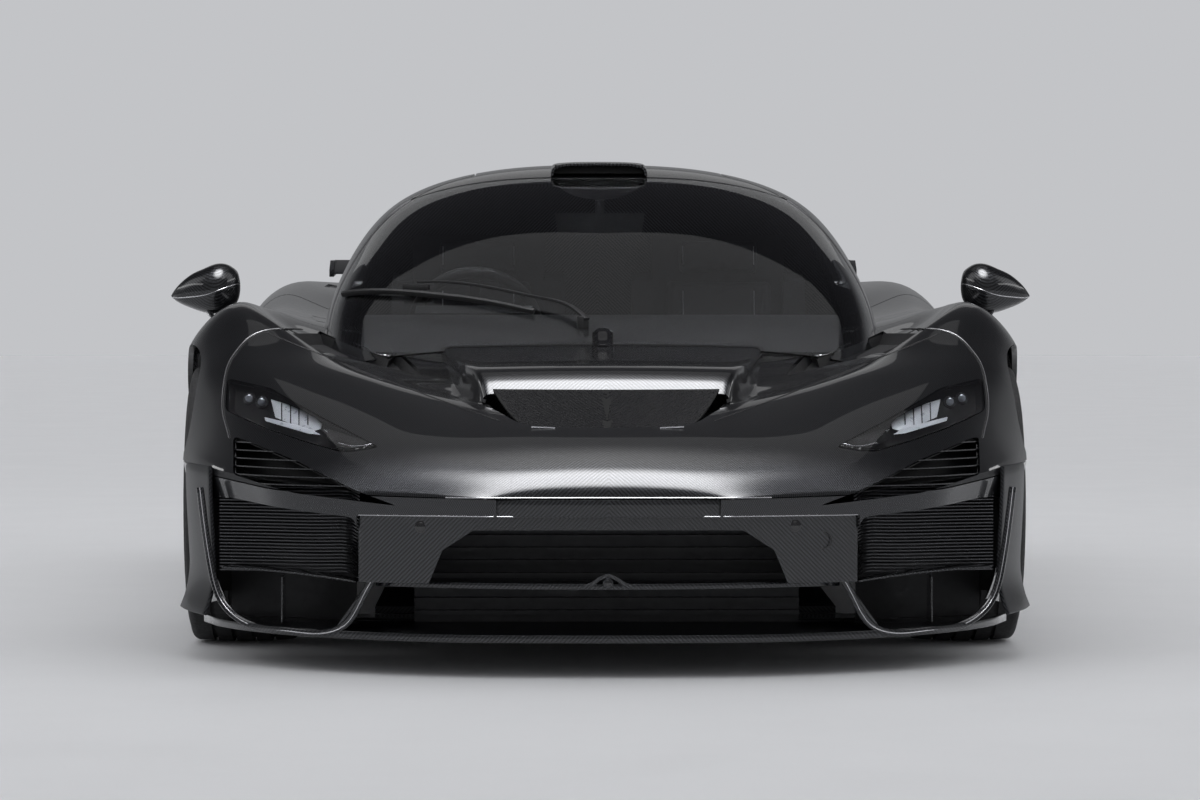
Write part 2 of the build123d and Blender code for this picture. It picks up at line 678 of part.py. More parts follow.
def dashboard():
    """Dash, instrument hood and centre console."""
    y = axle_front + 700
    profile = [(y - 400, 590), (y - 400, 690), ((y - 190, 770), (y + 20, 768)), (y + 60, 690), (y + 20, 590)]
    hood = prism("x", -seat_x - 150, -seat_x + 150,
                 [(y - 60, 720), (y - 60, 782), (y + 70, 800), (y + 70, 745)])
    spine = prism("x", -80, 80, [(y - 100, sill_z + 40 + seat_gap), (y - 100, 640), (y + 60, 640),
                                 ((y + 160, 430), (y + 700, 400)), (y + 700, sill_z + 40 + seat_gap)])
    return fuse(prism("x", -600, 600, profile), hood, spine)


def steering_wheel():
    """Rim, three spokes and hub, square to the column."""
    plane = Plane(Vector(*wheel_at), x_dir=(1, 0, 0), z_dir=column)
    rim = Solid.make_torus(163, 15, plane)
    spoke_at = plane.from_local_coords(Vector(-150, -13, -5))
    foot_at = plane.from_local_coords(Vector(-13, -150, -5))
    spoke = Solid.make_box(300, 26, 10, Plane(spoke_at, x_dir=(1, 0, 0), z_dir=column))
    foot = Solid.make_box(26, 150, 10, Plane(foot_at, x_dir=(1, 0, 0), z_dir=column))
    return fuse(rim, spoke, foot, rod(along(-14), along(12), 46))


def cabin_mirror():
    """The inside mirror and its stem to the windscreen."""
    y = axle_front + 1010
    stem = common(block(-12, 12, y, y + 16, 1030, 1200), canopy(glass + seated, 60))
    return fuse(prism("y", y, y + 20, [(-110, 985), (110, 985), (118, 1040), (-118, 1040)]), stem)


keep("seats", twin(seat()))
keep("dashboard", cut(dashboard(), rod(along(-330), along(-20), column_r + seat_gap)))
keep("steering_column", rod(along(-300), along(-14 - seat_gap), column_r))
keep("steering_wheel", steering_wheel())
keep("cabin_mirror", cabin_mirror())


# ---- running gear -----------------------------------------------------------------------------
def wishbone(x0, x1, spread, y, z, eye):
    """A V-shaped link from two body pivots to one outer ball joint."""
    legs = [rod((x0, y + side * spread, z), (x1, y, z), 13) for side in (-1, 1)]
    return fuse(legs, rod((x1, y, z - 12), (x1, y, z + 12), eye))


def front_links():
    """The left front wishbones, with the kingpin's two pins, and the damper."""
    z, x0 = tyre_front_r, 400
    lower = fuse(wishbone(x0, kingpin_x, 130, axle_front, z - 112, 24),
                 rod((kingpin_x, axle_front, z - 112), (kingpin_x, axle_front, z - 60), 12))
    upper = fuse(wishbone(x0, kingpin_x, 110, axle_front, z + 112, 24),
                 rod((kingpin_x, axle_front, z + 60), (kingpin_x, axle_front, z + 112), 12))
    return cut([lower, upper], block(0, x0 + seat_gap, axle_front - far, axle_front + far, 0, far))


def rear_links():
    """The left rear wishbones, half shaft and the stub axle's carrier."""
    z, x = tyre_rear_r, 730
    carrier = fuse(block(x - 22, x + 22, axle_rear - 50, axle_rear + 50, z - 120, z + 120),
                   rod((x, axle_rear, z), (track_rear_half + 28, axle_rear, z), hub_bore_r))
    arms = [wishbone(rear_frame, x - 10, 130, axle_rear, z + h, 20) for h in (-100, 100)]
    shaft = rod((rear_frame, axle_rear, z), (x, axle_rear, z), 20)
    links = fuse(carrier, arms, shaft, caliper(track_rear_half, axle_rear, z, x))
    return cut(links, block(0, rear_frame + seat_gap, axle_rear - far, axle_rear + far, 0, far))


def caliper(track, y, z, bracket_x):
    """A left brake caliper round the disc's back edge, with its arm from the upright."""
    x0 = track - 39
    inner, outer = x0 - 36, x0 + disc_w + 31
    ring_outer = turned([(inner, 122), (inner, 206), (outer, 206), (outer, 122)], 0, y, z)
    near, away = x0 - 6, x0 + disc_w + 6
    groove = turned([(near, 60), (near, disc_r + 6), (away, disc_r + 6), (away, 60)], 0, y, z)
    sector = prism("x", x0 - 60, x0 + 120, [(y, z), (y + 300, z - 150), (y + 300, z + 150)])
    arm = block(bracket_x - 10, x0 - 20, y + 20, y + 150, z - 34, z + 34)
    return fuse(cut(common(ring_outer, sector), groove), arm)


def knuckle():
    """The left front upright on its kingpin pins, with the stub axle and caliper."""
    z = tyre_front_r
    body = fuse(rod((kingpin_x, axle_front, z - 92), (kingpin_x, axle_front, z + 92), 30),
                rod((kingpin_x, axle_front, z), (track_front_half + 28, axle_front, z), hub_bore_r),
                caliper(track_front_half, axle_front, z, kingpin_x))
    pins = [rod((kingpin_x, axle_front, z - 130), (kingpin_x, axle_front, z - 59), 12 + hub_clearance),
            rod((kingpin_x, axle_front, z + 59), (kingpin_x, axle_front, z + 130), 12 + hub_clearance)]
    return cut(body, pins)


def disc(track, y, z):
    """A left brake disc with its bell and hub sleeve, running on the stub axle."""
    x0, bore = track - 39, hub_bore_r + hub_clearance
    return turned([(x0 - 14, bore), (track + 35, bore), (track + 35, 78), (track + 20, 78), (x0 + 26, 104),
                   (x0 + disc_w, 110), (x0 + disc_w, disc_r), (x0, disc_r), (x0, 100), (x0 + 14, 92),
                   (x0 + 14, 56), (x0 - 14, 56)], 0, y, z)


def tyre(track, y, r, width, rim_r):
    """A left tyre: rounded shoulders, three tread grooves and a hollow carcass."""
    half, side = width / 2, rim_r + 4
    outer = turned([(-half + 20, side), (-half + 20, side + 14),
                    ((-half, (r + side) / 2), (-half + 6, r - 26)),
                    ((-half + 12, r - 8), (-half + 26, r - 4)), ((0, r), (half - 26, r - 4)),
                    ((half - 12, r - 8), (half - 6, r - 26)),
                    ((half, (r + side) / 2), (half - 20, side + 14)),
                    (half - 20, side)], track, y, r)
    grooves = [turned([(x - 5, r - 10), (x + 5, r - 10), (x + 5, r + 9), (x - 5, r + 9)], track, y, r)
               for x in (-width * 0.26, -width * 0.09, width * 0.09, width * 0.26)]
    inner = turned([(-half + 40, side - 9), (-half + 34, side + 20),
                    (-half + 18, r - 50), (-half + 40, r - 22),
                    (half - 40, r - 22), (half - 18, r - 50),
                    (half - 34, side + 20), (half - 40, side - 9)],
                   track, y, r)
    return cut(outer, grooves, inner)


def rim(track, y, z, rim_r, width):
    """A left rim: barrel, ten split spokes and a centre disc."""
    half, seat, lip = width / 2 - 13, rim_r + 4 - seat_gap, 7 - seat_gap
    barrel = turned([(-half, rim_r - 14), (-half, rim_r + 12),
                     (-half + lip, rim_r + 12), (-half + lip, seat),
                     (half - lip, seat), (half - lip, rim_r + 12), (half, rim_r + 12), (half, rim_r - 14),
                     (half - 20, rim_r - 18), (-half + 12, rim_r - 18)], track, y, z)
    hub = turned([(35 + seat_gap, 0), (35 + seat_gap, 78), (62, 70), (62, 30), (52, 0)], track, y, z)
    spokes = []
    for i in range(10):
        blade = prism("x", 0, 26, [(-17, 60), (17, 60), (10, rim_r - 10), (-10, rim_r - 10)])
        lean = Plane(Vector(track + 40, y, z)).rotated((36 * i, 0, 0))
        spokes.append(lean.location * Rot(0, 10, 0) * blade)
    bore = turned([(-half - 5, 0), (-half - 5, rim_r - 18), (half - 22, rim_r - 18),
                   (30, rim_r - 18), (30, 0)], track, y, z)
    outside = turned([(-half - 40, rim_r - 8), (-half - 40, rim_r + 90), (half + 60, rim_r + 90),
                      (half + 60, rim_r - 8)], track, y, z)
    return fuse(barrel, hub, [s for spoke in spokes for s in solids(cut(spoke, outside, bore))])


keep("front_links", twin(front_links()))
keep("rear_links", twin(rear_links()))
keep("knuckle_left", knuckle())
keep("knuckle_right", flip(Compound(parts["knuckle_left"])))
for end, track, axle, r, width, rim_r in (
        ("front", track_front_half, axle_front, tyre_front_r, tyre_front_w, rim_front_r),
        ("rear", track_rear_half, axle_rear, tyre_rear_r, tyre_rear_w, rim_rear_r)):
    made = {"rim": rim(track, axle, r, rim_r, width), "tyre": tyre(track, axle, r, width, rim_r),
            "disc": disc(track, axle, r)}
    for piece, shape in made.items():
        keep(f"{piece}_{end}_left", shape)
        keep(f"{piece}_{end}_right", flip(Compound(solids(shape))))

for name, shapes in parts.items():
    export_step(Compound(shapes), f"parts/{name}.step")
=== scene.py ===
import json
import math
import bpy
import numpy as np
from mathutils import Euler, Matrix, Vector
from mathutils.bvhtree import BVHTree

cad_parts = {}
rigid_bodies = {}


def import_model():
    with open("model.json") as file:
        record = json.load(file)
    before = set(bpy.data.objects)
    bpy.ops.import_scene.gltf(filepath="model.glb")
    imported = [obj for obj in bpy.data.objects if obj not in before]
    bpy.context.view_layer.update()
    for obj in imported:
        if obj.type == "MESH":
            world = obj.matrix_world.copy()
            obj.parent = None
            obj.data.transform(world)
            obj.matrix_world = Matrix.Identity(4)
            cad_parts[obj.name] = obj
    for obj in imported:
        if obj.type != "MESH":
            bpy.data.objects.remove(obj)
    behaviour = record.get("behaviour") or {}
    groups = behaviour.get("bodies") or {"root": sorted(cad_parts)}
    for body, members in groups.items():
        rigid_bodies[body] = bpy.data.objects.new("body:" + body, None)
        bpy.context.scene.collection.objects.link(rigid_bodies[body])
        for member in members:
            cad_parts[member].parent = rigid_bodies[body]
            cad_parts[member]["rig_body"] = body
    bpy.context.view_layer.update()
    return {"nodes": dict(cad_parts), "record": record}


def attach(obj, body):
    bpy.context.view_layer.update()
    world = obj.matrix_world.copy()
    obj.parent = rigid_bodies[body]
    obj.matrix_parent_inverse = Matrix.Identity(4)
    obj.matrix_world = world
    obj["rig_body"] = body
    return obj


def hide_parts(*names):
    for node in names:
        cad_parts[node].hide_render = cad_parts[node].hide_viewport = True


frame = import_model()
bpy.ops.object.select_all(action="DESELECT")
nodes = frame["nodes"]
bodyOf = {n: o["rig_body"] for n, o in nodes.items()}
print("frame loaded")

# the car's main places, in millimetres; an arch is its axle's y, centre z, radius and inner x
car = {
    "frontArch": (-1237.5, 334, 384, 800),
    "rearArch": (1442.5, 355, 405, 800),
    "hinge": (335, 1190),
    "frontClamEnd": -642.5,
    "doors": (-637.5, 447.5),
    "roofEnd": 451,
    "rearClam": (460.5, 2242.5),
}


def mm(*p):
    return tuple(v * 0.001 for v in p)


def active(obj):
    bpy.ops.object.select_all(action="DESELECT")
    bpy.context.view_layer.objects.active = obj
    obj.select_set(True)
    return obj


def applyAll(obj):
    active(obj)
    for m in list(obj.modifiers):
        bpy.ops.object.modifier_apply(modifier=m.name)
    return obj


def smooth(obj, angle=40):
    active(obj)
    bpy.ops.object.shade_smooth_by_angle(angle=math.radians(angle))
    return obj


# runs mesh operators on the whole mesh in edit mode
def edited(obj, *steps):
    active(obj)
    bpy.ops.object.mode_set(mode="EDIT")
    for step in steps:
        bpy.ops.mesh.select_all(action="SELECT")
        step()
    bpy.ops.object.mode_set(mode="OBJECT")
    return obj


def facesOut():
    bpy.ops.mesh.normals_make_consistent(inside=False)


def merged(threshold):
    return lambda: bpy.ops.mesh.remove_doubles(threshold=threshold)


def outward(obj):
    return edited(obj, merged(0.00002), facesOut)


# turns an open strip's faces away from a point inside
def faceOut(obj, inside):
    middle = Vector(inside) / 1000
    away = sum((p.center - middle).dot(p.normal) * p.area for p in obj.data.polygons)
    return edited(obj, bpy.ops.mesh.flip_normals) if away < 0 else obj


def finishPiece(obj, body, material, slotName, *replaced):
    obj.data.materials.clear()
    obj.data.materials.append(material)
    for face in obj.data.polygons:
        face.material_index = 0
    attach(obj, body)
    if replaced:
        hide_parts(*replaced)
    return obj


def joined(name, objs):
    bpy.ops.object.select_all(action="DESELECT")
    for o in objs:
        o.select_set(True)
    bpy.context.view_layer.objects.active = objs[0]
    if len(objs) > 1:
        bpy.ops.object.join()
    objs[0].name = name
    return objs[0]


def copyOf(obj, name):
    active(obj)
    bpy.ops.object.duplicate()
    bpy.context.active_object.name = name
    return bpy.context.active_object


def mirrored(obj, name):
    twin = copyOf(obj, name)
    twin.data.transform(Matrix.Diagonal((-1, 1, 1, 1)))
    return edited(twin, bpy.ops.mesh.flip_normals)


# a natural cubic through knots; values has one row per knot
def cubicThrough(knots, values):
    knots, values = np.array(knots, float), np.array(values, float)
    n, h = len(knots), np.diff(np.array(knots, float))
    left, right = np.eye(n), np.zeros_like(values)
    for i in range(1, n - 1):
        left[i, i - 1:i + 2] = h[i - 1], 2 * (h[i - 1] + h[i]), h[i]
        right[i] = 6 * ((values[i + 1] - values[i]) / h[i] - (values[i] - values[i - 1]) / h[i - 1])
    bend = np.linalg.solve(left, right)

    def at(t):
        i = int(np.clip(np.searchsorted(knots, t, side="right") - 1, 0, n - 2))
        a, b = (knots[i + 1] - t) / h[i], (t - knots[i]) / h[i]
        return (a * values[i] + b * values[i + 1]
                + ((a ** 3 - a) * bend[i] + (b ** 3 - b) * bend[i + 1]) * h[i] ** 2 / 6)
    return at


# a surface from a table of stations: y, then x and z of each column; sharp columns keep a crease
def surfaceFrom(rows, sharp=()):
    along = cubicThrough([r[0] for r in rows], [r[1:] for r in rows])
    count = (len(rows[0]) - 1) // 2
    breaks = [0, *sharp, count - 1]

    def section(y):
        points = along(y).reshape(count, 2)
        runs = []
        for a, b in zip(breaks, breaks[1:]):
            part = points[a:b + 1]
            steps = np.concatenate([[0], np.cumsum(np.linalg.norm(np.diff(part, axis=0), axis=1))])
            runs.append((a, b, steps, cubicThrough(steps, part)))

        def at(s):
            s = min(max(s, 0), count - 1)
            a, b, steps, run = next(r for r in runs if s <= r[1])
            i = min(int(s), b - 1) - a
            t = steps[i] + (s - a - i) * (steps[i + 1] - steps[i])
            x, z = run(t)
            return x, y, z
        return at
    return section


# the place on a section, from one column to another, where a test changes sign
def crossing(at, test, low, high):
    start = test(at(low)) > 0
    for _ in range(26):
        mid = (low + high) / 2
        low, high = (mid, high) if (test(at(mid)) > 0) == start else (low, mid)
    return (low + high) / 2


def gridFrom(name, points):
    bpy.ops.mesh.primitive_grid_add(x_subdivisions=len(points[0]) - 1, y_subdivisions=len(points) - 1, size=1)
    obj = bpy.context.active_object
    obj.name = name
    flat = [v * 0.001 for row in points for p in row for v in p]
    obj.data.vertices.foreach_set("co", flat)
    obj.data.update()
    layWeave(obj, np.array(points, float) * 0.001)
    return obj


# the weave map: lengths along the surface, counted from the innermost column and the first row
def layWeave(obj, grid):
    across = np.linalg.norm(np.diff(grid, axis=1), axis=2)
    along = np.linalg.norm(np.diff(grid, axis=0), axis=2)
    u = np.zeros(grid.shape[:2])
    u[:, :-1] = np.cumsum(across[:, ::-1], axis=1)[:, ::-1]
    u += np.abs(grid[:, -1:, 0])
    v = np.zeros(grid.shape[:2])
    v[1:] = np.cumsum(along, axis=0)
    layer = obj.data.uv_layers[0]
    layer.name = "weave"
    ids = np.empty(len(obj.data.loops), int)
    obj.data.loops.foreach_get("vertex_index", ids)
    layer.data.foreach_set("uv", np.stack([u.ravel()[ids], v.ravel()[ids]], axis=1).ravel())


def skinPanel(name, section, stations, low, high, across, cap=None):
    points = []
    for y in stations:
        at = section(y)
        a = low(y, at) if callable(low) else low
        b = high(y, at) if callable(high) else high
        points.append([at(a + (b - a) * i / across) for i in range(across + 1)])
    if cap:
        points = cap(points) + points
    return gridFrom(name, points)


def thick(obj, depth, offset=-1, even=True):
    m = obj.modifiers.new("Wall", "SOLIDIFY")
    m.thickness, m.offset, m.use_even_offset = depth * 0.001, offset, even
    m.use_quality_normals = True
    return applyAll(obj)


def spread(a, b, count):
    return [a + (b - a) * i / count for i in range(count + 1)]


# a corner of an outline becomes an arc of a few points
def rounded(points, radius, steps=4):
    out = []
    for i, p in enumerate(points):
        p, a, b = Vector(p), Vector(points[i - 1]), Vector(points[(i + 1) % len(points)])
        r = min(radius, (a - p).length * 0.45, (b - p).length * 0.45)
        start, end = p + (a - p).normalized() * r, p + (b - p).normalized() * r
        for k in range(steps + 1):
            t = k / steps
            out.append(tuple(start * (1 - t) ** 2 + p * 2 * t * (1 - t) + end * t * t))
    return out


def placed(axis, a, b, c):
    return {"x": (c, a, b), "y": (a, c, b), "z": (a, b, c)}[axis]


# a loop of points, filled or open
def loopFrom(name, edge, fill):
    bpy.ops.mesh.primitive_circle_add(vertices=len(edge), fill_type=fill)
    obj = bpy.context.active_object
    obj.name = name
    for v, p in zip(obj.data.vertices, edge):
        v.co = mm(*p)
    return obj


# a plate from an edge loop, pulled along a way
def plate(name, edge, way):
    def pull():
        bpy.ops.mesh.extrude_region_move(TRANSFORM_OT_translate={"value": mm(*way)})
    return edited(loopFrom(name, edge, "NGON"), pull, facesOut)


# a flat outline in two axes, pulled out along the third
def outlineSolid(name, axis, low, high, outline):
    return plate(name, [placed(axis, a, b, low) for a, b in outline], placed(axis, 0, 0, high - low))


def boolean(obj, tool, operation="DIFFERENCE", keep=False):
    m = obj.modifiers.new("Cut", "BOOLEAN")
    m.operation, m.solver, m.object = operation, "EXACT", tool
    applyAll(obj)
    if not keep:
        bpy.data.objects.remove(tool)
    return obj


def rodMesh(name, start, end, radius, sides=24):
    start, end = Vector(mm(*start)), Vector(mm(*end))
    bpy.ops.mesh.primitive_cylinder_add(vertices=sides, radius=radius * 0.001, depth=(end - start).length)
    obj = bpy.context.active_object
    obj.name = name
    turn = (end - start).to_track_quat("Z", "Y").to_matrix().to_4x4()
    obj.data.transform(Matrix.Translation((start + end) / 2) @ turn)
    obj.matrix_world = Matrix.Identity(4)
    return obj


def bevel(obj, width, segments=2, angle=40):
    m = obj.modifiers.new("Edge", "BEVEL")
    m.width, m.segments, m.limit_method, m.angle_limit = width * 0.001, segments, "ANGLE", math.radians(angle)
    m.harden_normals = False
    return applyAll(obj)


# a round bead along points
def bead(name, points, radius, closed=False, sides=3):
    data = bpy.data.curves.new(name, "CURVE")
    data.dimensions, data.bevel_depth, data.bevel_resolution = "3D", radius * 0.001, sides
    spline = data.splines.new("POLY")
    spline.points.add(len(points) - 1)
    for p, q in zip(spline.points, points):
        p.co = (*mm(*q), 1)
    spline.use_cyclic_u = closed
    data.use_fill_caps = not closed
    obj = bpy.data.objects.new(name, data)
    bpy.context.scene.collection.objects.link(obj)
    active(obj)
    bpy.ops.object.convert(target="MESH")
    return smooth(bpy.context.active_object, 60)


# points x, z dropped on a skin from ahead of the car, lifted along its normal
def onFront(tree, outline, lift=0.0):
    out = []
    for x, z in outline:
        spot, normal, _, _ = tree.ray_cast(Vector(mm(x, -2600, z)), Vector((0, 1, 0)))
        if spot:
            out.append(tuple((spot + normal * lift * 0.001) * 1000))
    return out


def treeOf(obj):
    return BVHTree.FromObject(obj, bpy.context.evaluated_depsgraph_get())


# the camera; some details are set out as points u, v of its 1200 by 800 frame
cameraLook = {
    "spot": (-0.122, -13.237, 0.956), "lens": 148.56, "sensor": 36, "down": 1.78, "left": -0.54,
    "frame": (1200, 800),
}


def viewTurn():
    return Euler((math.radians(90 - cameraLook["down"]), 0, math.radians(cameraLook["left"])))


def viewRay(u, v):
    wide, high = cameraLook["frame"]
    focal = cameraLook["lens"] / cameraLook["sensor"] * wide
    way = viewTurn().to_matrix() @ Vector(((u - wide / 2) / focal, (high / 2 - v) / focal, -1))
    return Vector(cameraLook["spot"]), way.normalized()


# frame points dropped on a skin, lifted along its normal
def seenOn(tree, outline, lift=0.0):
    out = []
    for u, v in outline:
        spot, way = viewRay(u, v)
        hit, normal, _, _ = tree.ray_cast(spot, way)
        if hit:
            out.append(tuple((hit + normal * lift * 0.001) * 1000))
    return out


# a frame point at a station y
def seenAt(u, v, y):
    spot, way = viewRay(u, v)
    return tuple((spot + way * ((y * 0.001 - spot.y) / way.y)) * 1000)


# points round a circle that faces along Y
def circleXZ(x, y, z, radius, count):
    turns = np.linspace(0, math.tau, count + 1)[:-1]
    return [(x + radius * math.cos(a), y, z + radius * math.sin(a)) for a in turns]


# more points along a line, on a smooth curve through it
def finer(points, steps=6):
    knots = np.concatenate([[0], np.cumsum(np.linalg.norm(np.diff(np.array(points, float), axis=0), axis=1))])
    run = cubicThrough(knots, points)
    return [tuple(run(t)) for t in np.linspace(0, knots[-1], (len(points) - 1) * steps + 1)]


def fillEnds():
    bpy.ops.mesh.fill_holes(sides=0)


# a closed profile carried along points; profile points are across and up
def sweep(name, points, profile, up=(0, 0, 1)):
    spots = [Vector(p) for p in points]
    rows = []
    for i, p in enumerate(spots):
        way = (spots[min(i + 1, len(spots) - 1)] - spots[max(i - 1, 0)]).normalized()
        side = way.cross(Vector(up)).normalized()
        top = side.cross(way)
        rows.append([tuple(p + side * a + top * b) for a, b in [*profile, profile[0]]])
    return edited(gridFrom(name, rows), merged(0.00001), fillEnds, facesOut)


def flat(wide, thick):
    return [(-wide / 2, -thick / 2), (wide / 2, -thick / 2), (wide / 2, thick / 2), (-wide / 2, thick / 2)]


def boxMesh(name, low, high):
    bpy.ops.mesh.primitive_cube_add(size=1)
    obj = bpy.context.active_object
    obj.name = name
    low, high = Vector(mm(*low)), Vector(mm(*high))
    for v in obj.data.vertices:
        v.co = Vector(low[i] if v.co[i] < 0 else high[i] for i in range(3))
    return obj


# a cup going back from an opening's edge
def bowl(name, edge, way, shrink):
    obj = loopFrom(name, edge, "NOTHING")
    middle = sum((v.co for v in obj.data.vertices), Vector()) / len(edge) + Vector(mm(*way))

    def deepen():
        bpy.ops.mesh.extrude_edges_move(TRANSFORM_OT_translate={"value": mm(*way)})
        bpy.ops.transform.resize(value=(shrink, shrink, shrink), center_override=middle)
        bpy.ops.mesh.edge_face_add()
    return smooth(thick(edited(obj, deepen, facesOut), 2, 1, False))


# the same piece on both sides, as one object
def bothSides(obj):
    name = obj.name
    return joined(name, [obj, mirrored(obj, name + "Twin")])


# feeds a node's inputs, each with a socket or a plain value
def feed(tree, node, feeds):
    for key, value in feeds.items():
        if isinstance(value, bpy.types.NodeSocket):
            tree.links.new(value, node.inputs[key])
        else:
            node.inputs[key].default_value = value
    return node


def addNode(tree, kind, feeds=None, **values):
    n = tree.nodes.new(kind)
    for k, v in values.items():
        setattr(n, k, v)
    return feed(tree, n, feeds or {})


def shader(m):
    return m.node_tree.nodes["Principled BSDF"]


def newMaterial(name, color, metallic=0.0, roughness=0.5, coat=0.0, coatRough=0.03, specular=0.35):
    m = bpy.data.materials.new(name)
    m.use_nodes = True
    feed(m.node_tree, shader(m), {
        "Base Color": (*color, 1), "Metallic": metallic, "Roughness": roughness, "Coat Weight": coat,
        "Coat Roughness": coatRough, "Specular IOR Level": specular,
    })
    return m


# bumps a material by a height
def raised(m, height, strength, distance):
    tree = m.node_tree
    bump = addNode(tree, "ShaderNodeBump", {"Strength": strength, "Distance": distance, "Height": height})
    feed(tree, shader(m), {"Normal": bump.outputs["Normal"]})
    return m


def mathNode(tree, operation, *feeds):
    return addNode(tree, "ShaderNodeMath", dict(enumerate(feeds)), operation=operation).outputs[0]


def vectorNode(tree, operation, *feeds):
    return addNode(tree, "ShaderNodeVectorMath", dict(enumerate(feeds)), operation=operation).outputs


def mixed(tree, test, a, b):
    return mathNode(tree, "ADD", mathNode(tree, "MULTIPLY", test, a),
                    mathNode(tree, "MULTIPLY", mathNode(tree, "SUBTRACT", 1.0, test), b))


# a shader group from its sockets' names, kinds and usual values
def nodeGroup(name, inputs, outputs):
    g = bpy.data.node_groups.new(name, "ShaderNodeTree")
    for side, sockets in (("INPUT", inputs), ("OUTPUT", outputs)):
        for label, kind, *usual in sockets:
            socket = g.interface.new_socket(name=label, in_out=side, socket_type="NodeSocket" + kind)
            if usual:
                socket.default_value = usual[0]
    return g, addNode(g, "NodeGroupInput").outputs, addNode(g, "NodeGroupOutput")


# two-by-two twill on a place given in metres
def twillGroup():
    inputs = [("Place", "Vector"), ("Tow width", "Float", 0.0025), ("Dark", "Color"), ("Light", "Color")]
    g, inp, out = nodeGroup("Twill weave", inputs, [("Color", "Color"), ("Height", "Float")])
    place = addNode(g, "ShaderNodeSeparateXYZ", {0: inp["Place"]}).outputs
    uu, vv = (mathNode(g, "DIVIDE", place[i], inp["Tow width"]) for i in range(2))
    cells = mathNode(g, "ADD", mathNode(g, "FLOOR", uu), mathNode(g, "FLOOR", vv))
    step = mathNode(g, "MODULO", mathNode(g, "ADD", cells, 40000.0), 4.0)
    over = mathNode(g, "LESS_THAN", step, 1.5)

    def hump(value):
        part = mathNode(g, "SUBTRACT", mathNode(g, "FRACT", mathNode(g, "ADD", value, 20000.0)), 0.5)
        return mathNode(g, "SUBTRACT", 1.0, mathNode(g, "MULTIPLY", mathNode(g, "MULTIPLY", part, part), 4.0))

    height = mixed(g, over, hump(uu), hump(vv))
    tone = mathNode(g, "MULTIPLY", height, mathNode(g, "ADD", mathNode(g, "MULTIPLY", over, 0.8), 0.2))
    blend = addNode(g, "ShaderNodeMix", {"Factor": tone}, data_type="RGBA")
    feed(g, blend, {"A": inp["Dark"], "B": inp["Light"]})
    feed(g, out, {"Color": blend.outputs["Result"], "Height": height})
    return g


# the place on the plane that a face looks along most, mirrored about the car's middle
def planeGroup():
    g, _, out = nodeGroup("Weave plane", [], [("Place", "Vector")])
    coords = addNode(g, "ShaderNodeTexCoord").outputs
    p = addNode(g, "ShaderNodeSeparateXYZ", {0: coords["Object"]}).outputs
    n = addNode(g, "ShaderNodeSeparateXYZ", {0: coords["Normal"]}).outputs
    ax, ay, az = (mathNode(g, "ABSOLUTE", n[i]) for i in range(3))
    side = mathNode(g, "GREATER_THAN", ax, mathNode(g, "MULTIPLY", mathNode(g, "MAXIMUM", ay, az), 1.15))
    front = mathNode(g, "GREATER_THAN", ay, az)
    place = addNode(g, "ShaderNodeCombineXYZ", {
        0: mixed(g, side, p[1], mathNode(g, "ABSOLUTE", p[0])),
        1: mixed(g, side, p[2], mixed(g, front, p[2], p[1])),
    })
    feed(g, out, {"Place": place.outputs[0]})
    return g


twill = twillGroup()
weavePlane = planeGroup()
carbonLook = {
    "tow": 0.0025, "dark": (0.003, 0.003, 0.0035), "light": (0.05, 0.052, 0.058), "coatRough": 0.015,
    "relief": (0.15, 0.0004),
}


def carbonMaterial(name, look, mapped=False, coat=1.0, roughness=0.36):
    m = newMaterial(name, look["dark"], 0.85, roughness, coat, look["coatRough"], 0.3)
    t = m.node_tree
    if mapped:
        place = addNode(t, "ShaderNodeUVMap", uv_map="weave").outputs["UV"]
    else:
        place = addNode(t, "ShaderNodeGroup", node_tree=weavePlane).outputs["Place"]
    weave = addNode(t, "ShaderNodeGroup", {
        "Place": place, "Tow width": look["tow"], "Dark": (*look["dark"], 1), "Light": (*look["light"], 1),
    }, node_tree=twill).outputs
    feed(t, shader(m), {"Base Color": weave["Color"]})
    return raised(m, weave["Height"], *look["relief"])


# fine noise that lifts or lowers a value over the surface
def wearGroup():
    usual = {"Scale": 60.0, "Low": 0.3, "High": 0.6}
    g, inp, out = nodeGroup("Surface grain", [(label, "Float", value) for label, value in usual.items()],
                            [("Value", "Float"), ("Grain", "Float")])
    place = addNode(g, "ShaderNodeTexCoord").outputs["Object"]
    noise = addNode(g, "ShaderNodeTexNoise", {"Detail": 4, "Vector": place, "Scale": inp["Scale"]})
    noise = noise.outputs["Fac"]
    span = addNode(g, "ShaderNodeMapRange", {
        "Value": noise, "From Min": 0.3, "From Max": 0.7, "To Min": inp["Low"], "To Max": inp["High"],
    })
    feed(g, out, {"Value": span.outputs["Result"], "Grain": noise})
    return g


grain = wearGroup()


def grained(m, scale, low, high, bump=0.0, distance=0.0005):
    t = m.node_tree
    wear = addNode(t, "ShaderNodeGroup", {"Scale": scale, "Low": low, "High": high}, node_tree=grain).outputs
    feed(t, shader(m), {"Roughness": wear["Value"]})
    return raised(m, wear["Grain"], bump, distance) if bump else m


def glassMaterial(name, color):
    m = newMaterial(name, color, 0.0, 0.0)
    feed(m.node_tree, shader(m), {"Transmission Weight": 1.0, "IOR": 1.45})
    return m


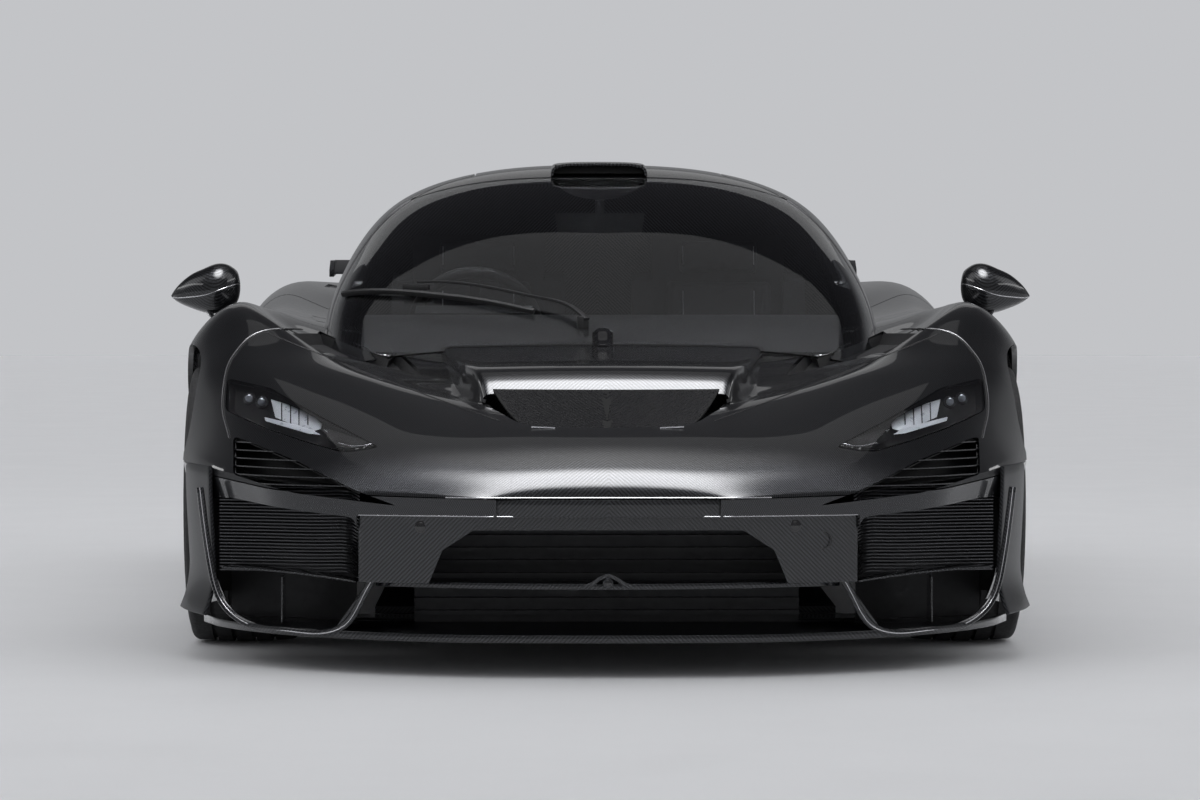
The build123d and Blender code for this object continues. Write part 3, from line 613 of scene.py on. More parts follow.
mats = {
    "skin": carbonMaterial("Clear-coated body carbon", carbonLook, True),
    "carbon": carbonMaterial("Clear-coated carbon", carbonLook),
    "satinCarbon": carbonMaterial("Satin carbon", {**carbonLook, "coatRough": 0.25}, False, 0.3, 0.5),
    # grey beads along the black carbon's rolled edges and seams: painted highlight, standing in for the thin
    # bright lines light draws there
    "edge": newMaterial("Painted edge highlight", (0.5, 0.5, 0.52), 0.9, 0.16, 1.0, 0.02),
    "gloss": newMaterial("Gloss black", (0.006, 0.006, 0.007), 0, 0.2, 1.0, 0.02),
    "matte": grained(newMaterial("Moulded black", (0.012, 0.012, 0.013)), 300, 0.5, 0.7, 0.15),
    "glass": glassMaterial("Tinted glass", (0.74, 0.76, 0.78)),
    "clear": glassMaterial("Lamp cover", (0.97, 0.98, 1.0)),
    "tyre": grained(newMaterial("Tyre rubber", (0.018, 0.018, 0.019)), 120, 0.62, 0.82, 0.25),
    "rim": grained(newMaterial("Gloss black wheel", (0.012, 0.012, 0.014), 0.3, 0.3, 1.0, 0.05),
                   40, 0.22, 0.34),
    "disc": grained(newMaterial("Ceramic disc", (0.12, 0.12, 0.125), 0.7, 0.4), 90, 0.3, 0.5, 0.1),
    "caliper": grained(newMaterial("Caliper paint", (0.03, 0.03, 0.034), 0.2, 0.35, 0.6), 80, 0.3, 0.42),
    "metal": grained(newMaterial("Machined aluminium", (0.42, 0.42, 0.44), 1.0, 0.35), 60, 0.28, 0.45, 0.08),
    "dark": grained(newMaterial("Dark casting", (0.05, 0.05, 0.052), 0.6, 0.5), 70, 0.4, 0.6, 0.2),
    "exhaust": grained(newMaterial("Heat-tinted pipe", (0.32, 0.27, 0.24), 1.0, 0.3), 50, 0.22, 0.4),
    "mirror": newMaterial("Mirror", (0.8, 0.82, 0.85), 1.0, 0.02),
    "suede": grained(newMaterial("Dark suede", (0.018, 0.018, 0.02)), 900, 0.75, 0.95, 0.5, 0.0008),
    "silver": grained(newMaterial("Reflector", (0.62, 0.63, 0.66), 0.9, 0.2), 60, 0.15, 0.25),
    # near-black: the colour of the lamp housings and of the glass's print, and painted shade where it fills
    # the bonnet mouth and the roof scoop
    "deep": newMaterial("Black depth and painted shade", (0.0015, 0.0015, 0.0017), 0, 0.9),
    "mesh": grained(newMaterial("Woven grille", (0.075, 0.075, 0.08), 0.9, 0.3, 1.0), 300, 0.22, 0.34),
    "frost": grained(newMaterial("Frosted reflector", (0.55, 0.57, 0.6), 0.25, 0.35), 60, 0.25, 0.4, 0.04),
    "lensGlow": newMaterial("Projector lens", (0.25, 0.27, 0.3), 0.6, 0.08, 1.0),
    "ribs": grained(newMaterial("Ribbed black", (0.05, 0.05, 0.055), 0.7, 0.3, 0.6), 200, 0.25, 0.4),
    "stitch": grained(newMaterial("Pale stitching", (0.2, 0.2, 0.21)), 500, 0.6, 0.8),
    "glowRed": newMaterial("Tail lamp core", (0.75, 0.012, 0.01), 0, 0.2, 1.0),
    "red": newMaterial("Tail lamp", (0.25, 0.004, 0.004), 0, 0.15, 1.0),
}
slotMaterial = {
    "carbon": "carbon", "mesh": "matte", "radiator": "dark", "lamp_black": "gloss", "lamp_glass": "clear",
    "window_glass": "glass", "mirror": "mirror", "tub": "satinCarbon", "tail_lamp": "red",
    "exhaust": "exhaust", "lining": "matte", "engine": "dark", "seat": "suede", "trim": "matte",
    "links": "metal", "caliper": "caliper", "rim": "rim", "tyre": "tyre", "disc": "disc",
}


def onShell(obj, material, slotName, *replaced):
    return finishPiece(obj, "shell", mats[material], slotName, *replaced)


# a line of even thickness, the same on both sides; grey painted highlight unless another material is given
def twinLine(name, line, radius, material="edge", slotName="carbon"):
    return onShell(bothSides(bead(name, line, radius)), material, slotName)


# a cup behind an opening's edge, the same on both sides
def twinCup(name, edge, way, look, material, slotName, *replaced):
    cup = bowl(name, edge, [v * look["depth"] for v in way], look["shrink"])
    return onShell(bothSides(cup), material, slotName, *replaced)


print("materials made")


# the hull's stations: y, then x z of sill, side, shoulder, crest, crease, valley, middle
hullRows = [
    (-2313, 255, 300, 262, 404, 200, 427, 120, 440, 80, 442, 45, 443, 0, 443),
    (-2237, 500, 230, 560, 410, 430, 456, 230, 484, 150, 488, 90, 490, 0, 491),
    (-2067, 735, 180, 800, 428, 640, 510, 330, 547, 210, 551, 110, 552, 0, 552),
    (-1870, 850, 150, 915, 442, 775, 566, 400, 597, 285, 590, 170, 580, 0, 576),
    (-1700, 905, 130, 972, 455, 850, 615, 520, 642, 440, 622, 320, 598, 0, 592),
    (-1500, 950, 112, 1010, 470, 925, 672, 690, 706, 610, 672, 440, 634, 0, 626),
    (-1380, 965, 112, 1022, 490, 955, 702, 775, 762, 700, 712, 500, 652, 0, 644),
    (-1237, 975, 112, 1030, 520, 990, 728, 850, 808, 780, 750, 560, 674, 0, 664),
    (-1000, 972, 112, 1028, 552, 988, 738, 860, 812, 815, 776, 640, 706, 0, 694),
    (-897, 970, 112, 1025, 560, 985, 738, 858, 808, 822, 778, 660, 716, 0, 702),
    (-637, 950, 112, 1000, 560, 962, 722, 848, 797, 800, 780, 700, 748, 0, 716),
    (-97, 890, 112, 935, 520, 925, 690, 834, 790, 790, 778, 700, 752, 0, 722),
    (452, 940, 112, 990, 560, 960, 735, 852, 822, 800, 806, 700, 765, 0, 730),
    (1002, 965, 112, 1015, 590, 980, 758, 860, 848, 800, 838, 700, 812, 0, 790),
    (1442, 980, 112, 1030, 600, 995, 770, 855, 852, 800, 846, 700, 832, 0, 815),
    (1922, 948, 160, 995, 640, 958, 785, 830, 846, 780, 844, 660, 840, 0, 835),
    (2242, 885, 240, 920, 690, 890, 800, 762, 838, 700, 838, 560, 836, 0, 835),
]
hull = surfaceFrom(hullRows, sharp=(1,))
# y, then x z of base, side, corner, roof edge, top
canopyRows = [
    (-1037, 665, 600, 630, 655, 575, 675, 490, 688, 0, 702),
    (-697, 715, 600, 688, 745, 638, 812, 530, 844, 0, 872),
    (-347, 735, 600, 690, 835, 612, 940, 460, 1003, 0, 1036),
    (2, 748, 600, 672, 900, 572, 1040, 420, 1108, 0, 1142),
    (302, 748, 600, 655, 910, 545, 1068, 370, 1146, 0, 1178),
    (762, 720, 600, 600, 900, 485, 1046, 320, 1118, 0, 1152),
    (1262, 600, 600, 470, 870, 385, 972, 255, 1026, 0, 1056),
    (1912, 400, 600, 290, 800, 240, 850, 170, 878, 0, 894),
    (2192, 320, 600, 250, 760, 205, 792, 150, 812, 0, 822),
]
canopy = surfaceFrom(canopyRows)
# y, then how far the pillar stands from the hinge's line
pillarRows = [(-642, 560), (-350, 425), (-100, 268), (100, 90), (162, 24)]
pillarRadius = cubicThrough([y for y, _ in pillarRows], [[r] for _, r in pillarRows])


def mirrorMerge(obj):
    m = obj.modifiers.new("Both sides", "MIRROR")
    m.use_axis, m.merge_threshold, m.use_clip = (True, False, False), 0.0005, True
    return applyAll(obj)


print("surfaces ready")


def joinFlats():
    bpy.ops.mesh.dissolve_limited(angle_limit=math.radians(0.6))


# a merged copy of a CAD node, flats joined, edges rounded, shaded smooth
def dressed(node, material=None, edge=0.0, angle=32, flats=True):
    source = nodes[node]
    obj = bpy.data.objects.new(node + "Dressed", source.data.copy())
    bpy.context.scene.collection.objects.link(obj)
    edited(obj, merged(0.00001), *([joinFlats] if flats else []))
    for name in [a.name for a in obj.data.attributes if a.name == "custom_normal"]:
        obj.data.attributes.remove(obj.data.attributes[name])
    if edge:
        bevel(obj, edge, 2, 30)
    smooth(obj, angle)
    slotName = next(s["material_slot"] for s in frame["record"]["subparts"] if s["node"] == node)
    finishPiece(obj, bodyOf[node], mats[material or slotMaterial[slotName]], slotName, node)
    return obj


# openings as |x|, z seen from the front; marks as u, v of the camera's frame
clamLook = {
    "wall": 12,
    "lens": 4,
    "lensGap": 0.998,
    "lip": 398,
    "tip": -2317,
    "corner": {"lamp": 14, "slot": 10, "vent": 12, "mouth": 30},
    "reach": {"lamp": (-2340, -1500), "slot": (-2340, -1560), "vent": (560, 900), "mouth": (480, 900)},
    "ventCup": {"below": 6, "depth": 24, "shrink": 0.9},
    "lamp": [(888, 646), (886, 574), (780, 538), (675, 510), (597, 493), (512, 506), (640, 562), (780, 628)],
    "slot": [(858, 518), (835, 514), (698, 472), (559, 412), (494, 389), (470, 380), (700, 404), (850, 437)],
    "mouth": [(-150, -2082), (0, -2090), (150, -2082), (206, -2040), (262, -1900), (300, -1540),
              (-300, -1540), (-262, -1900), (-206, -2040)],
    "vent": [(283, 331), (320, 331), (354, 345), (389, 357), (396, 350), (424, 376), (378, 365), (330, 353)],
    "leaf": [(354, 344), (371, 351.5), (387, 355.8), (393, 354.5), (391, 350.5), (381, 344.4), (376.5, 337)],
    "fenderLine": [(301, 329), (263, 331), (248, 338), (237, 350), (229, 362), (224, 380), (222, 400),
                   (223, 415), (226.5, 428), (229, 438)],
    "crease": [(263, 331), (297, 345), (327, 357), (364, 372), (406, 387.5), (444, 401.5), (500, 421)],
}


def clamEdge(y):
    return float(np.interp(y, [-2318, -1621, -1237, -987, -577], [clamLook["lip"], 454, 454, 132, 132]))


def archTool(axleY, centreZ, radius, inner):
    ends = [[(side * x, axleY, centreZ) for x in (inner, 1120)] for side in (-1, 1)]
    return joined("archTool", [rodMesh("archTool", *pair, radius, 96) for pair in ends])


def pairTool(name, axis, outline, low, high):
    left = outlineSolid(name, axis, low, high, outline)
    right = outlineSolid(name, axis, low, high, [(-a, b) for a, b in outline])
    return joined(name, [left, right])


# the skin rolls over the tip and down to the lip
def noseRoll(points):
    rows = []
    for k in range(8, 0, -1):
        t, row = k / 8, []
        for p, q in zip(points[0], points[1]):
            p, q = Vector(p), Vector(q)
            corner = p + (p - q) * ((p.y - clamLook["tip"]) / (q.y - p.y))
            end = Vector((corner.x * 0.985, clamLook["tip"], min(corner.z, clamLook["lip"])))
            row.append(tuple(p * (1 - t) ** 2 + corner * 2 * t * (1 - t) + end * t * t))
        rows.append(row)
    return rows


clamBase = skinPanel("frontClam", hull, spread(-2255, -2225, 3) + spread(-2212, car["frontClamEnd"], 94),
                     lambda y, at: crossing(at, lambda p: p[2] - clamEdge(y), 0, 2.2), 6, 72, noseRoll)
clamBase = outward(mirrorMerge(clamBase))
skinTree = treeOf(clamBase)
corner, reach = clamLook["corner"], clamLook["reach"]
lampTool = rounded(clamLook["lamp"], corner["lamp"])
slotTool = rounded(clamLook["slot"], corner["slot"])
ventSpots = seenOn(skinTree, clamLook["vent"])
ventTool = rounded([(-p[0], p[1]) for p in ventSpots], corner["vent"])


lampCovers = thick(copyOf(clamBase, "lampCovers"), clamLook["lens"])
lampInset = rounded([(a * clamLook["lensGap"], b) for a, b in clamLook["lamp"]], corner["lamp"])
boolean(lampCovers, pairTool("lampTool", "y", lampInset, *reach["lamp"]), "INTERSECT")
onShell(smooth(lampCovers), "clear", "lamp_glass", "headlight_lenses")

clam = thick(clamBase, clamLook["wall"])
boolean(clam, pairTool("lampTool", "y", lampTool, *reach["lamp"]))
boolean(clam, pairTool("slotTool", "y", slotTool, *reach["slot"]))
boolean(clam, pairTool("ventTool", "z", ventTool, *reach["vent"]))
boolean(clam, outlineSolid("mouthTool", "z", *reach["mouth"], rounded(clamLook["mouth"], corner["mouth"], 6)))
boolean(clam, archTool(*car["frontArch"]))


def fillOpenEdge():
    bpy.ops.mesh.select_all(action="DESELECT")
    bpy.ops.mesh.select_non_manifold()
    bpy.ops.mesh.fill()


canopyTool = mirrorMerge(skinPanel("canopyTool", canopy, spread(-1037, 400, 60), 0, 4, 30))
edited(canopyTool, fillOpenEdge, facesOut)
boolean(clam, canopyTool, keep=True)
onShell(smooth(clam, 30), "skin", "carbon", "front_clam")


# a thin line on the skin through u, v points
def skinLine(name, points, radius, material, lift):
    return twinLine(name, seenOn(skinTree, finer(points, 4), lift), radius, material)


# grey painted highlight along the fender's edge line
skinLine("fenderLine", clamLook["fenderLine"], 1.5, "edge", 0.2)
skinLine("fenderGap", [(u + 1.6, v + 0.6) for u, v in clamLook["fenderLine"]], 1.6, "matte", -0.4)
# a dark matte line along the fold between fender and channel: painted shade at the crease
skinLine("creaseShadeLine", clamLook["crease"], 1.8, "matte", -0.3)
# grey painted highlight along the vent leaf's edge
skinLine("leafEdge", clamLook["leaf"], 1.8, "edge", 0.6)
ventEdge = [(x, y, z - clamLook["ventCup"]["below"]) for x, y, z in ventSpots]
twinCup("ventCup", ventEdge, (0, 0, -1), clamLook["ventCup"], "matte", "lining")
print("front clam made")

# places as u, v; a plate has its depth behind the cover, its thickness, material and outline
lampLook = {
    "plates": {
        "lampReflector": (26, 12, "frost", [(267, 391), (283, 395), (301, 402), (314, 409), (319.5, 415),
                                            (318.5, 420), (310, 422.5), (290, 417), (271, 409)]),
        "lampStrip": (18, 8, "frost", [(261, 412), (280, 416), (300, 421), (312, 425), (318.5, 429),
                                       (306, 428), (285, 422), (262, 416)]),
        "lampTip": (8, 8, "deep", [(327, 427), (345, 432), (362, 437), (376, 441.3), (368, 444.5),
                                   (352, 446), (338, 444), (326, 437)]),
        "lampInner": (16, 8, "silver", [(322, 424), (331, 433), (345, 436), (360, 436), (352, 432),
                                        (338, 428)]),
    },
    "tipLine": [(338, 441.8), (352, 445), (364, 444.5), (374, 442)],
    "ribs": [(279, 6), (288, 8), (297, 9), (306, 9)],
    "modules": [(245, 393), (258, 396)],
    "moduleRadius": 15,
    "eyeRadius": 11,
    "cup": {"behind": 11, "depth": 46, "shrink": 0.92},
}
lampEdge = onFront(skinTree, lampTool, -lampLook["cup"]["behind"])
twinCup("lampCup", lampEdge, (0, 1, 0), lampLook["cup"], "deep", "lamp_black", "headlight_housings")
for name, (behind, depth, material, outline) in lampLook["plates"].items():
    piece = bevel(bothSides(plate(name, seenOn(skinTree, outline, -behind), (0, depth, 0))), 1.5, 2, 30)
    onShell(smooth(piece), material, "lamp_black")
# a grey painted highlight line along the lamp's inner tip
lampLine = seenOn(skinTree, finer(lampLook["tipLine"], 5), -5)
twinLine("lampTipLine", lampLine, 1.4, "edge", "lamp_black")
modules, eyes = [], []
for place in lampLook["modules"]:
    x, y, z = seenOn(skinTree, [place], -22)[0]
    module = rodMesh("lampModule", (x, y, z), (x, y + 26, z), lampLook["moduleRadius"], 32)
    modules.append(bevel(module, 2))
    x, y, z = seenOn(skinTree, [place], -20)[0]
    bpy.ops.mesh.primitive_uv_sphere_add(segments=24, ring_count=12, radius=lampLook["eyeRadius"] * 0.001)
    eye = bpy.context.active_object
    eye.data.transform(Matrix.Translation(mm(x, y + 4, z)) @ Matrix.Diagonal((1, 0.5, 1, 1)))
    eyes.append(eye)
onShell(smooth(bothSides(joined("lampModules", modules))), "gloss", "lamp_black")
onShell(smooth(bothSides(joined("lampEyes", eyes)), 60), "lensGlow", "lamp_glass")
ribs = []
for u, v in lampLook["ribs"]:
    a, b = seenOn(skinTree, [(u, 389 + v), (u - 1, 409 + v * 0.8)], -25)
    ribs.append(sweep("rib", [a, b], flat(2.4, 3), (0, 1, 0)))
onShell(bothSides(joined("lampRibs", ribs)), "gloss", "lamp_black")
print("headlamps made")

slotLook = {
    "slats": spread(404, 524, 7),
    "across": spread(480, 900, 14),
    "depth": 20,
    "thick": 2.6,
    "setBack": 14,
    "cup": {"behind": 10, "depth": 130, "shrink": 0.9},
}
slotEdge = onFront(skinTree, slotTool, -slotLook["cup"]["behind"])
twinCup("slotCup", slotEdge, (0, 1, 0), slotLook["cup"], "matte", "lining")
slats = []
for z in slotLook["slats"]:
    line = onFront(skinTree, [(x, z) for x in slotLook["across"]])
    line = [(x, y + slotLook["setBack"] + slotLook["depth"] / 2, z) for x, y, z in line]
    if len(line) > 2:
        slats.append(sweep("slat", line, flat(slotLook["depth"], slotLook["thick"])))
slotSlats = joined("slotSlats", slats)
boolean(slotSlats, outlineSolid("slotTool", "y", -2400, -1400, slotTool), "INTERSECT")
onShell(bothSides(slotSlats), "carbon", "carbon")
print("slots made")

bumperLook = {
    "duct": [(944, 372), (926, 290), (902, 180), (872, 122), (820, 92), (620, 92), (560, 92), (560, 352),
             (700, 366), (860, 384)],
    "ductCorner": 24,
    "band": 357,
    "half": 560,
    "bandHalf": 262,
    "bandBow": 16,
    "bandLevels": (370, 384),
    "bandWall": 8,
    "rim": [(943, 372), (934, 330), (925, 290), (913, 235), (904, 192)],
}
bumperYs = [-2316, -2312, -2305, -2295, -2280, -2262, *spread(-2240, -1237, 70)]
bumper = skinPanel("frontBumper", hull, bumperYs, 0,
                   lambda y, at: crossing(at, lambda p: p[2] - clamEdge(y) + 3, 0, 2.2), 16)
bumperBase = outward(mirrorMerge(bumper))
bumperTree = treeOf(bumperBase)
bumper = thick(bumperBase, clamLook["wall"])
half, level = bumperLook["half"], bumperLook["band"]
centre = [(-half, -60), (half, -60), (half, level), (-half, level)]
boolean(bumper, outlineSolid("centreTool", "y", -2400, -1200, centre))
boolean(bumper, pairTool("slotTool", "y", slotTool, *reach["slot"]))
ductTool = rounded(bumperLook["duct"], bumperLook["ductCorner"])
boolean(bumper, pairTool("ductTool", "y", ductTool, -2400, -1560))
boolean(bumper, archTool(*car["frontArch"]))
onShell(smooth(bumper, 30), "skin", "carbon", "front_bumper")


# a grey painted highlight bead where a skin is cut at a height, from one side to the other
def levelBead(name, tree, z, half, radius, lift):
    line = onFront(tree, [(x, z) for x in spread(-half, half, 60)], lift)
    return onShell(bead(name, line, radius), "edge", "carbon")


wide, bulge = bumperLook["bandHalf"], bumperLook["bandBow"]
bandLine = [(x, clamLook["tip"] + bulge * (x / wide) ** 4) for x in spread(-wide, wide, 40)]
levels = (bumperLook["band"], *bumperLook["bandLevels"], clamLook["lip"] - 3)
rows = [[(x, y, z) for x, y in bandLine] for z in levels]
band = thick(outward(gridFrom("bumperBand", rows)), bumperLook["bandWall"], 0)
onShell(smooth(bevel(band, 1.5)), "carbon", "carbon")
# grey painted highlight lines along the band's seam, the clam's lip, the bumper's cut edge and each duct's
# rim
seamLine = bead("bandSeam", [(x, y - 0.3, bumperLook["band"] + 1.5) for x, y in bandLine], 1.5)
onShell(seamLine, "edge", "carbon")
levelBead("lipEdge", skinTree, clamLook["lip"] + 2.2, 470, 1.6, 0.5)
levelBead("bandEdge", bumperTree, bumperLook["band"] + 1.5, half - 4, 1.4, 0.2)
ductRim = onFront(bumperTree, finer(bumperLook["rim"], 8), 0.4)
twinLine("ductRim", ductRim, 1.8)

# the upright plate ahead of each front tyre
fenceLook = {
    "foot": 112,
    "top": 452,
    "path": [(905, -1900), (940, -1800), (966, -1700), (978, -1632)],
    "bow": 6,
    "flick": 26,
    "flickTop": 230,
    "wall": 9,
}
rows = []
for z in spread(fenceLook["foot"], fenceLook["top"], 12):
    rise = z - fenceLook["foot"]
    bend = 1 - rise / (fenceLook["flickTop"] - fenceLook["foot"])
    bow = fenceLook["bow"] * math.cos(rise / (fenceLook["top"] - fenceLook["foot"]) * math.pi)
    shift = fenceLook["flick"] * max(0.0, bend) ** 2 - bow
    rows.append([(x + shift, y, z) for x, y in finer(fenceLook["path"])])
fence = thick(outward(gridFrom("sideFence", rows)), fenceLook["wall"])
onShell(smooth(bevel(bothSides(fence), 2)), "satinCarbon", "carbon")

# the rounded frame round each side duct's outer and lower edge, with the slanted blade
frameLook = {
    "line": [(200, 487, -1908), (204, 520, -1908), (211, 566, -1912), (223, 603, -1930), (243, 621, -1968),
             (290, 631, -2102), (330, 632, -2156), (345, 625, -2172), (362, 598, -2186), (388, 554, -2196)],
    "size": (17, 11),
}
line = finer([seenAt(*place) for place in frameLook["line"]])
ductFrame = sweep("ductFrame", line, flat(*frameLook["size"]), (0, 1, 0))
onShell(smooth(bevel(bothSides(ductFrame), 3)), "carbon", "carbon")
# a grey painted highlight line along the frame's front edge
twinLine("ductFrameEdge", [(x, y - frameLook["size"][1] / 2 - 0.6, z) for x, y, z in line], 1.5)
print("front bumper made")

# a slat's line as x, y and the height it drops by
ductLook = {
    "slats": spread(216, 414, 26),
    "line": [(884, -1900, 0), (760, -1935, 0), (620, -1962, 0), (588, -1966, 1), (574, -1962, 6),
             (568, -1954, 14)],
    "slatSize": (15, 2.6),
    "shelf": [(862, -1940, 226), (760, -1972, 221), (650, -1990, 209), (566, -1996, 196)],
    "shelfSize": (90, 5),
    "strake": [(736, -2010, 100), (740, -1880, 205)],
}
slats = []
for z in ductLook["slats"]:
    line = finer([(x, y, z - drop) for x, y, drop in ductLook["line"]], 3)
    slats.append(sweep("slat", line, flat(*ductLook["slatSize"])))
onShell(smooth(bothSides(joined("ductSlats", slats))), "ribs", "radiator")
shelf = sweep("ductShelf", finer(ductLook["shelf"], 4), flat(*ductLook["shelfSize"]))
onShell(bevel(bothSides(shelf), 1.2), "carbon", "carbon")
onShell(bevel(bothSides(boxMesh("ductStrake", *ductLook["strake"])), 1), "carbon", "carbon")
print("ducts made")

bonnetLook = {
    "front": (-2084, 544),
    "back": (-1796, 626),
    "frontHalf": 176,
    "backHalf": 262,
    "dip": 6,
    "flare": 0.8,
    "mouthShadeWall": 4,
    "pitch": 10.5,
    "lean": 150,
    "ribShape": [(-2.3, -1.5), (2.3, -1.5), (0, 2.2)],
    "ribEnd": 0.95,
    "tick": [(-172, -2090, 549), (-118, -2093, 547)],
}


def mouthPoint(x, t):
    (y0, z0), (y1, z1) = bonnetLook["front"], bonnetLook["back"]
    return x, y0 + (y1 - y0) * t, z0 + (z1 - z0) * t - bonnetLook["dip"] * math.sin(math.pi * t)


def mouthHalf(t):
    a, b = bonnetLook["frontHalf"], bonnetLook["backHalf"]
    return a + (b - a) * t ** bonnetLook["flare"]


# a near-black sheet under the grille's ribs: painted shade of the dark depth behind the grille
rows = [[mouthPoint(mouthHalf(t) * k / 12, t) for k in range(-12, 13)] for t in spread(0, 1, 10)]
mouthShade = thick(outward(gridFrom("mouthShadePanel", rows)), bonnetLook["mouthShadeWall"])
onShell(mouthShade, "deep", "mesh", "bonnet_grille")
ribs = []
for i in range(1, 60):
    line = []
    for t in spread(0, bonnetLook["ribEnd"], 12):
        x = i * bonnetLook["pitch"] - (1 - t) * bonnetLook["lean"]
        if 0 <= x <= mouthHalf(t) - 2:
            px, py, pz = mouthPoint(x, t)
            line.append((px, py, pz + 1))
    if len(line) > 1:
        ribs.append(sweep("rib", line, bonnetLook["ribShape"]))
onShell(bothSides(joined("mouthRibs", ribs)), "mesh", "mesh")
# a small grey painted highlight tick at each side of the mouth's front
onShell(bothSides(sweep("mouthTicks", bonnetLook["tick"], flat(5, 3))), "edge", "mesh")

# along the car: y, half width and height; across: out and down from the edge
bridgeLook = {
    "rows": [(-1803, 284, 620), (-1792, 287, 637), (-1776, 291, 652), (-1755, 297, 664), (-1725, 304, 673),
             (-1680, 314, 679), (-1600, 330, 684), (-1480, 349, 689), (-1237, 373, 700), (-1060, 388, 709),
             (-915, 400, 716)],
    "across": [(16, -88), (5, -30), (1, -12), (-3, -5), (-9, -1.5), (-18, 0)],
    "crown": 5,
    "shoulder": 18,
    "wall": 9,
}
top = cubicThrough([r[0] for r in bridgeLook["rows"]], [r[1:] for r in bridgeLook["rows"]])
rows = []
for y in finer([(r[0],) for r in bridgeLook["rows"]]):
    half, z = top(y[0])
    low = z - bridgeLook["crown"]
    row = [(half + out, y[0], low + down) for out, down in bridgeLook["across"]]
    for k in range(14, -1, -1):
        x = (half - bridgeLook["shoulder"]) * k / 15
        row.append((x, y[0], z - bridgeLook["crown"] * (x / half) ** 2))
    rows.append(row)
bridge = thick(outward(mirrorMerge(gridFrom("bonnetBridge", rows))), bridgeLook["wall"], even=False)
boolean(bridge, canopyTool, keep=True)
onShell(smooth(bridge), "skin", "carbon", "bonnet_bridge")

# the panel under the windscreen and the raised spine in its middle
cowlLook = {
    "along": (-1008, -930),
    "rise": 24,
    "drop": 3,
    "inset": 12,
    "wall": 6,
    "spine": [(-1062, -2), (-1030, 4), (-1004, 14), (-978, 27), (-952, 34)],
    "spineShape": [(-26, -10), (26, -10), (15, 2), (8, 5), (-8, 5), (-15, 2)],
}
rows = []
for i, y in enumerate(spread(*cowlLook["along"], 6)):
    half, z = top(y)
    half, z = half - cowlLook["inset"], z + cowlLook["rise"] * i / 6 - cowlLook["drop"]
    rows.append([(x, y, z) for x in spread(-half, half, 30)])
cowl = thick(outward(gridFrom("cowlPanel", rows)), cowlLook["wall"])
boolean(cowl, canopyTool)
onShell(smooth(cowl, 30), "matte", "trim")
spine = [(0, y, top(y)[1] + lift) for y, lift in cowlLook["spine"]]
spine = sweep("bonnetSpine", finer(spine, 4), cowlLook["spineShape"])
onShell(smooth(spine, 50), "gloss", "carbon")
print("bonnet made")

# u, v places, the pod's with its y; the hood's points are counted from it
fasciaLook = {
    "sensors": [(421, 527), (795, 526)],
    "steps": [(3, 10, 1.5), (1.5, 14, 1)],
    "cap": (823, 540),
    "capRadius": 19,
    "pod": (608, 583, -2296),
    "hood": [(-52, 12, -10), (-26, 4, 2), (-10, 0, 14), (0, 0, 17), (10, 0, 14), (26, 4, 2), (52, 12, -10)],
}
fasciaTree = treeOf(nodes["front_fascia"])
parts = []
for x, y, z in seenOn(fasciaTree, fasciaLook["sensors"]):
    for ahead, radius, edge in fasciaLook["steps"]:
        parts.append(bevel(rodMesh("sensor", (x, y - ahead, z), (x, y + 4, z), radius, 32), edge))
onShell(smooth(joined("parkSensors", parts)), "gloss", "trim")
x, y, z = seenOn(fasciaTree, [fasciaLook["cap"]])[0]
ring = circleXZ(x, y - 0.4, z, fasciaLook["capRadius"], 47)
onShell(bead("towCapLine", ring, 1.1, True), "matte", "trim")
x, y, z = seenAt(*fasciaLook["pod"])
hood = finer([(x + a, y + b, z + c) for a, b, c in fasciaLook["hood"]], 5)
podEye = bevel(rodMesh("podEye", (x, y - 14, z), (x, y + 12, z), 12, 32), 2)
onShell(smooth(joined("cameraPod", [sweep("pod", hood, flat(26, 8)), podEye])), "carbon", "trim")
podLens = bevel(rodMesh("podLens", (x, y - 15, z), (x, y - 8, z), 7, 24), 1)
onShell(smooth(podLens), "gloss", "trim")
print("fascia made")

screenLook = {
    "front": -1036,
    "header": -22.5,
    "glass": 5,
    "pillar": 27,
    "pillarSlope": 0.46,
    "pillarWall": 22,
    "roofWall": 24,
    "frit": 15,
    "fritBehind": 6.5,
    "fritWall": 1.5,
    "headerFrit": 46,
    "shroud": 108,
    "shroudLong": 165,
    "shroudTop": 40,
}


# past its rows the pillar runs straight on ahead and keeps its size behind
def pillarR(y):
    (front, wide), (back, narrow) = pillarRows[0], pillarRows[-1]
    if y < front:
        return wide + (front - y) * screenLook["pillarSlope"]
    return float(pillarRadius(y)[0]) if y < back else narrow


# where a section meets the round the door swings in, or a line beside its hinge
def hingeSide(y, at, extra, shift=0):
    hingeX, hingeZ = car["hinge"]

    def test(p):
        return math.hypot(abs(p[0]) - hingeX, p[2] - hingeZ) - (pillarR(y) + extra)

    inner = crossing(at, lambda p: p[0] - hingeX - shift, 0.3, 4)
    if test(at(inner)) >= 0:
        return inner
    if test(at(0.3)) <= 0:
        return 0.3
    return crossing(at, test, 0.3, inner)


def screenSide(y, at):
    return hingeSide(y, at, -screenLook["pillar"])


def fritSide(y, at):
    return hingeSide(y, at, -screenLook["pillar"] - screenLook["frit"])


screenYs = spread(screenLook["front"], screenLook["header"], 48)
screenBase = outward(mirrorMerge(skinPanel("windscreen", canopy, screenYs, screenSide, 4, 40)))
screenTree = treeOf(screenBase)
screen = smooth(thick(screenBase, screenLook["glass"]))
onShell(screen, "glass", "window_glass", "windscreen")


def shroudEdge(y, at):
    t = (y - screenLook["header"] + screenLook["shroudTop"]) / screenLook["shroudLong"]
    half = screenLook["shroud"] * math.sqrt(max(1 - t * t, 0.0004))
    return crossing(at, lambda p: p[0] - half, 1, 4)


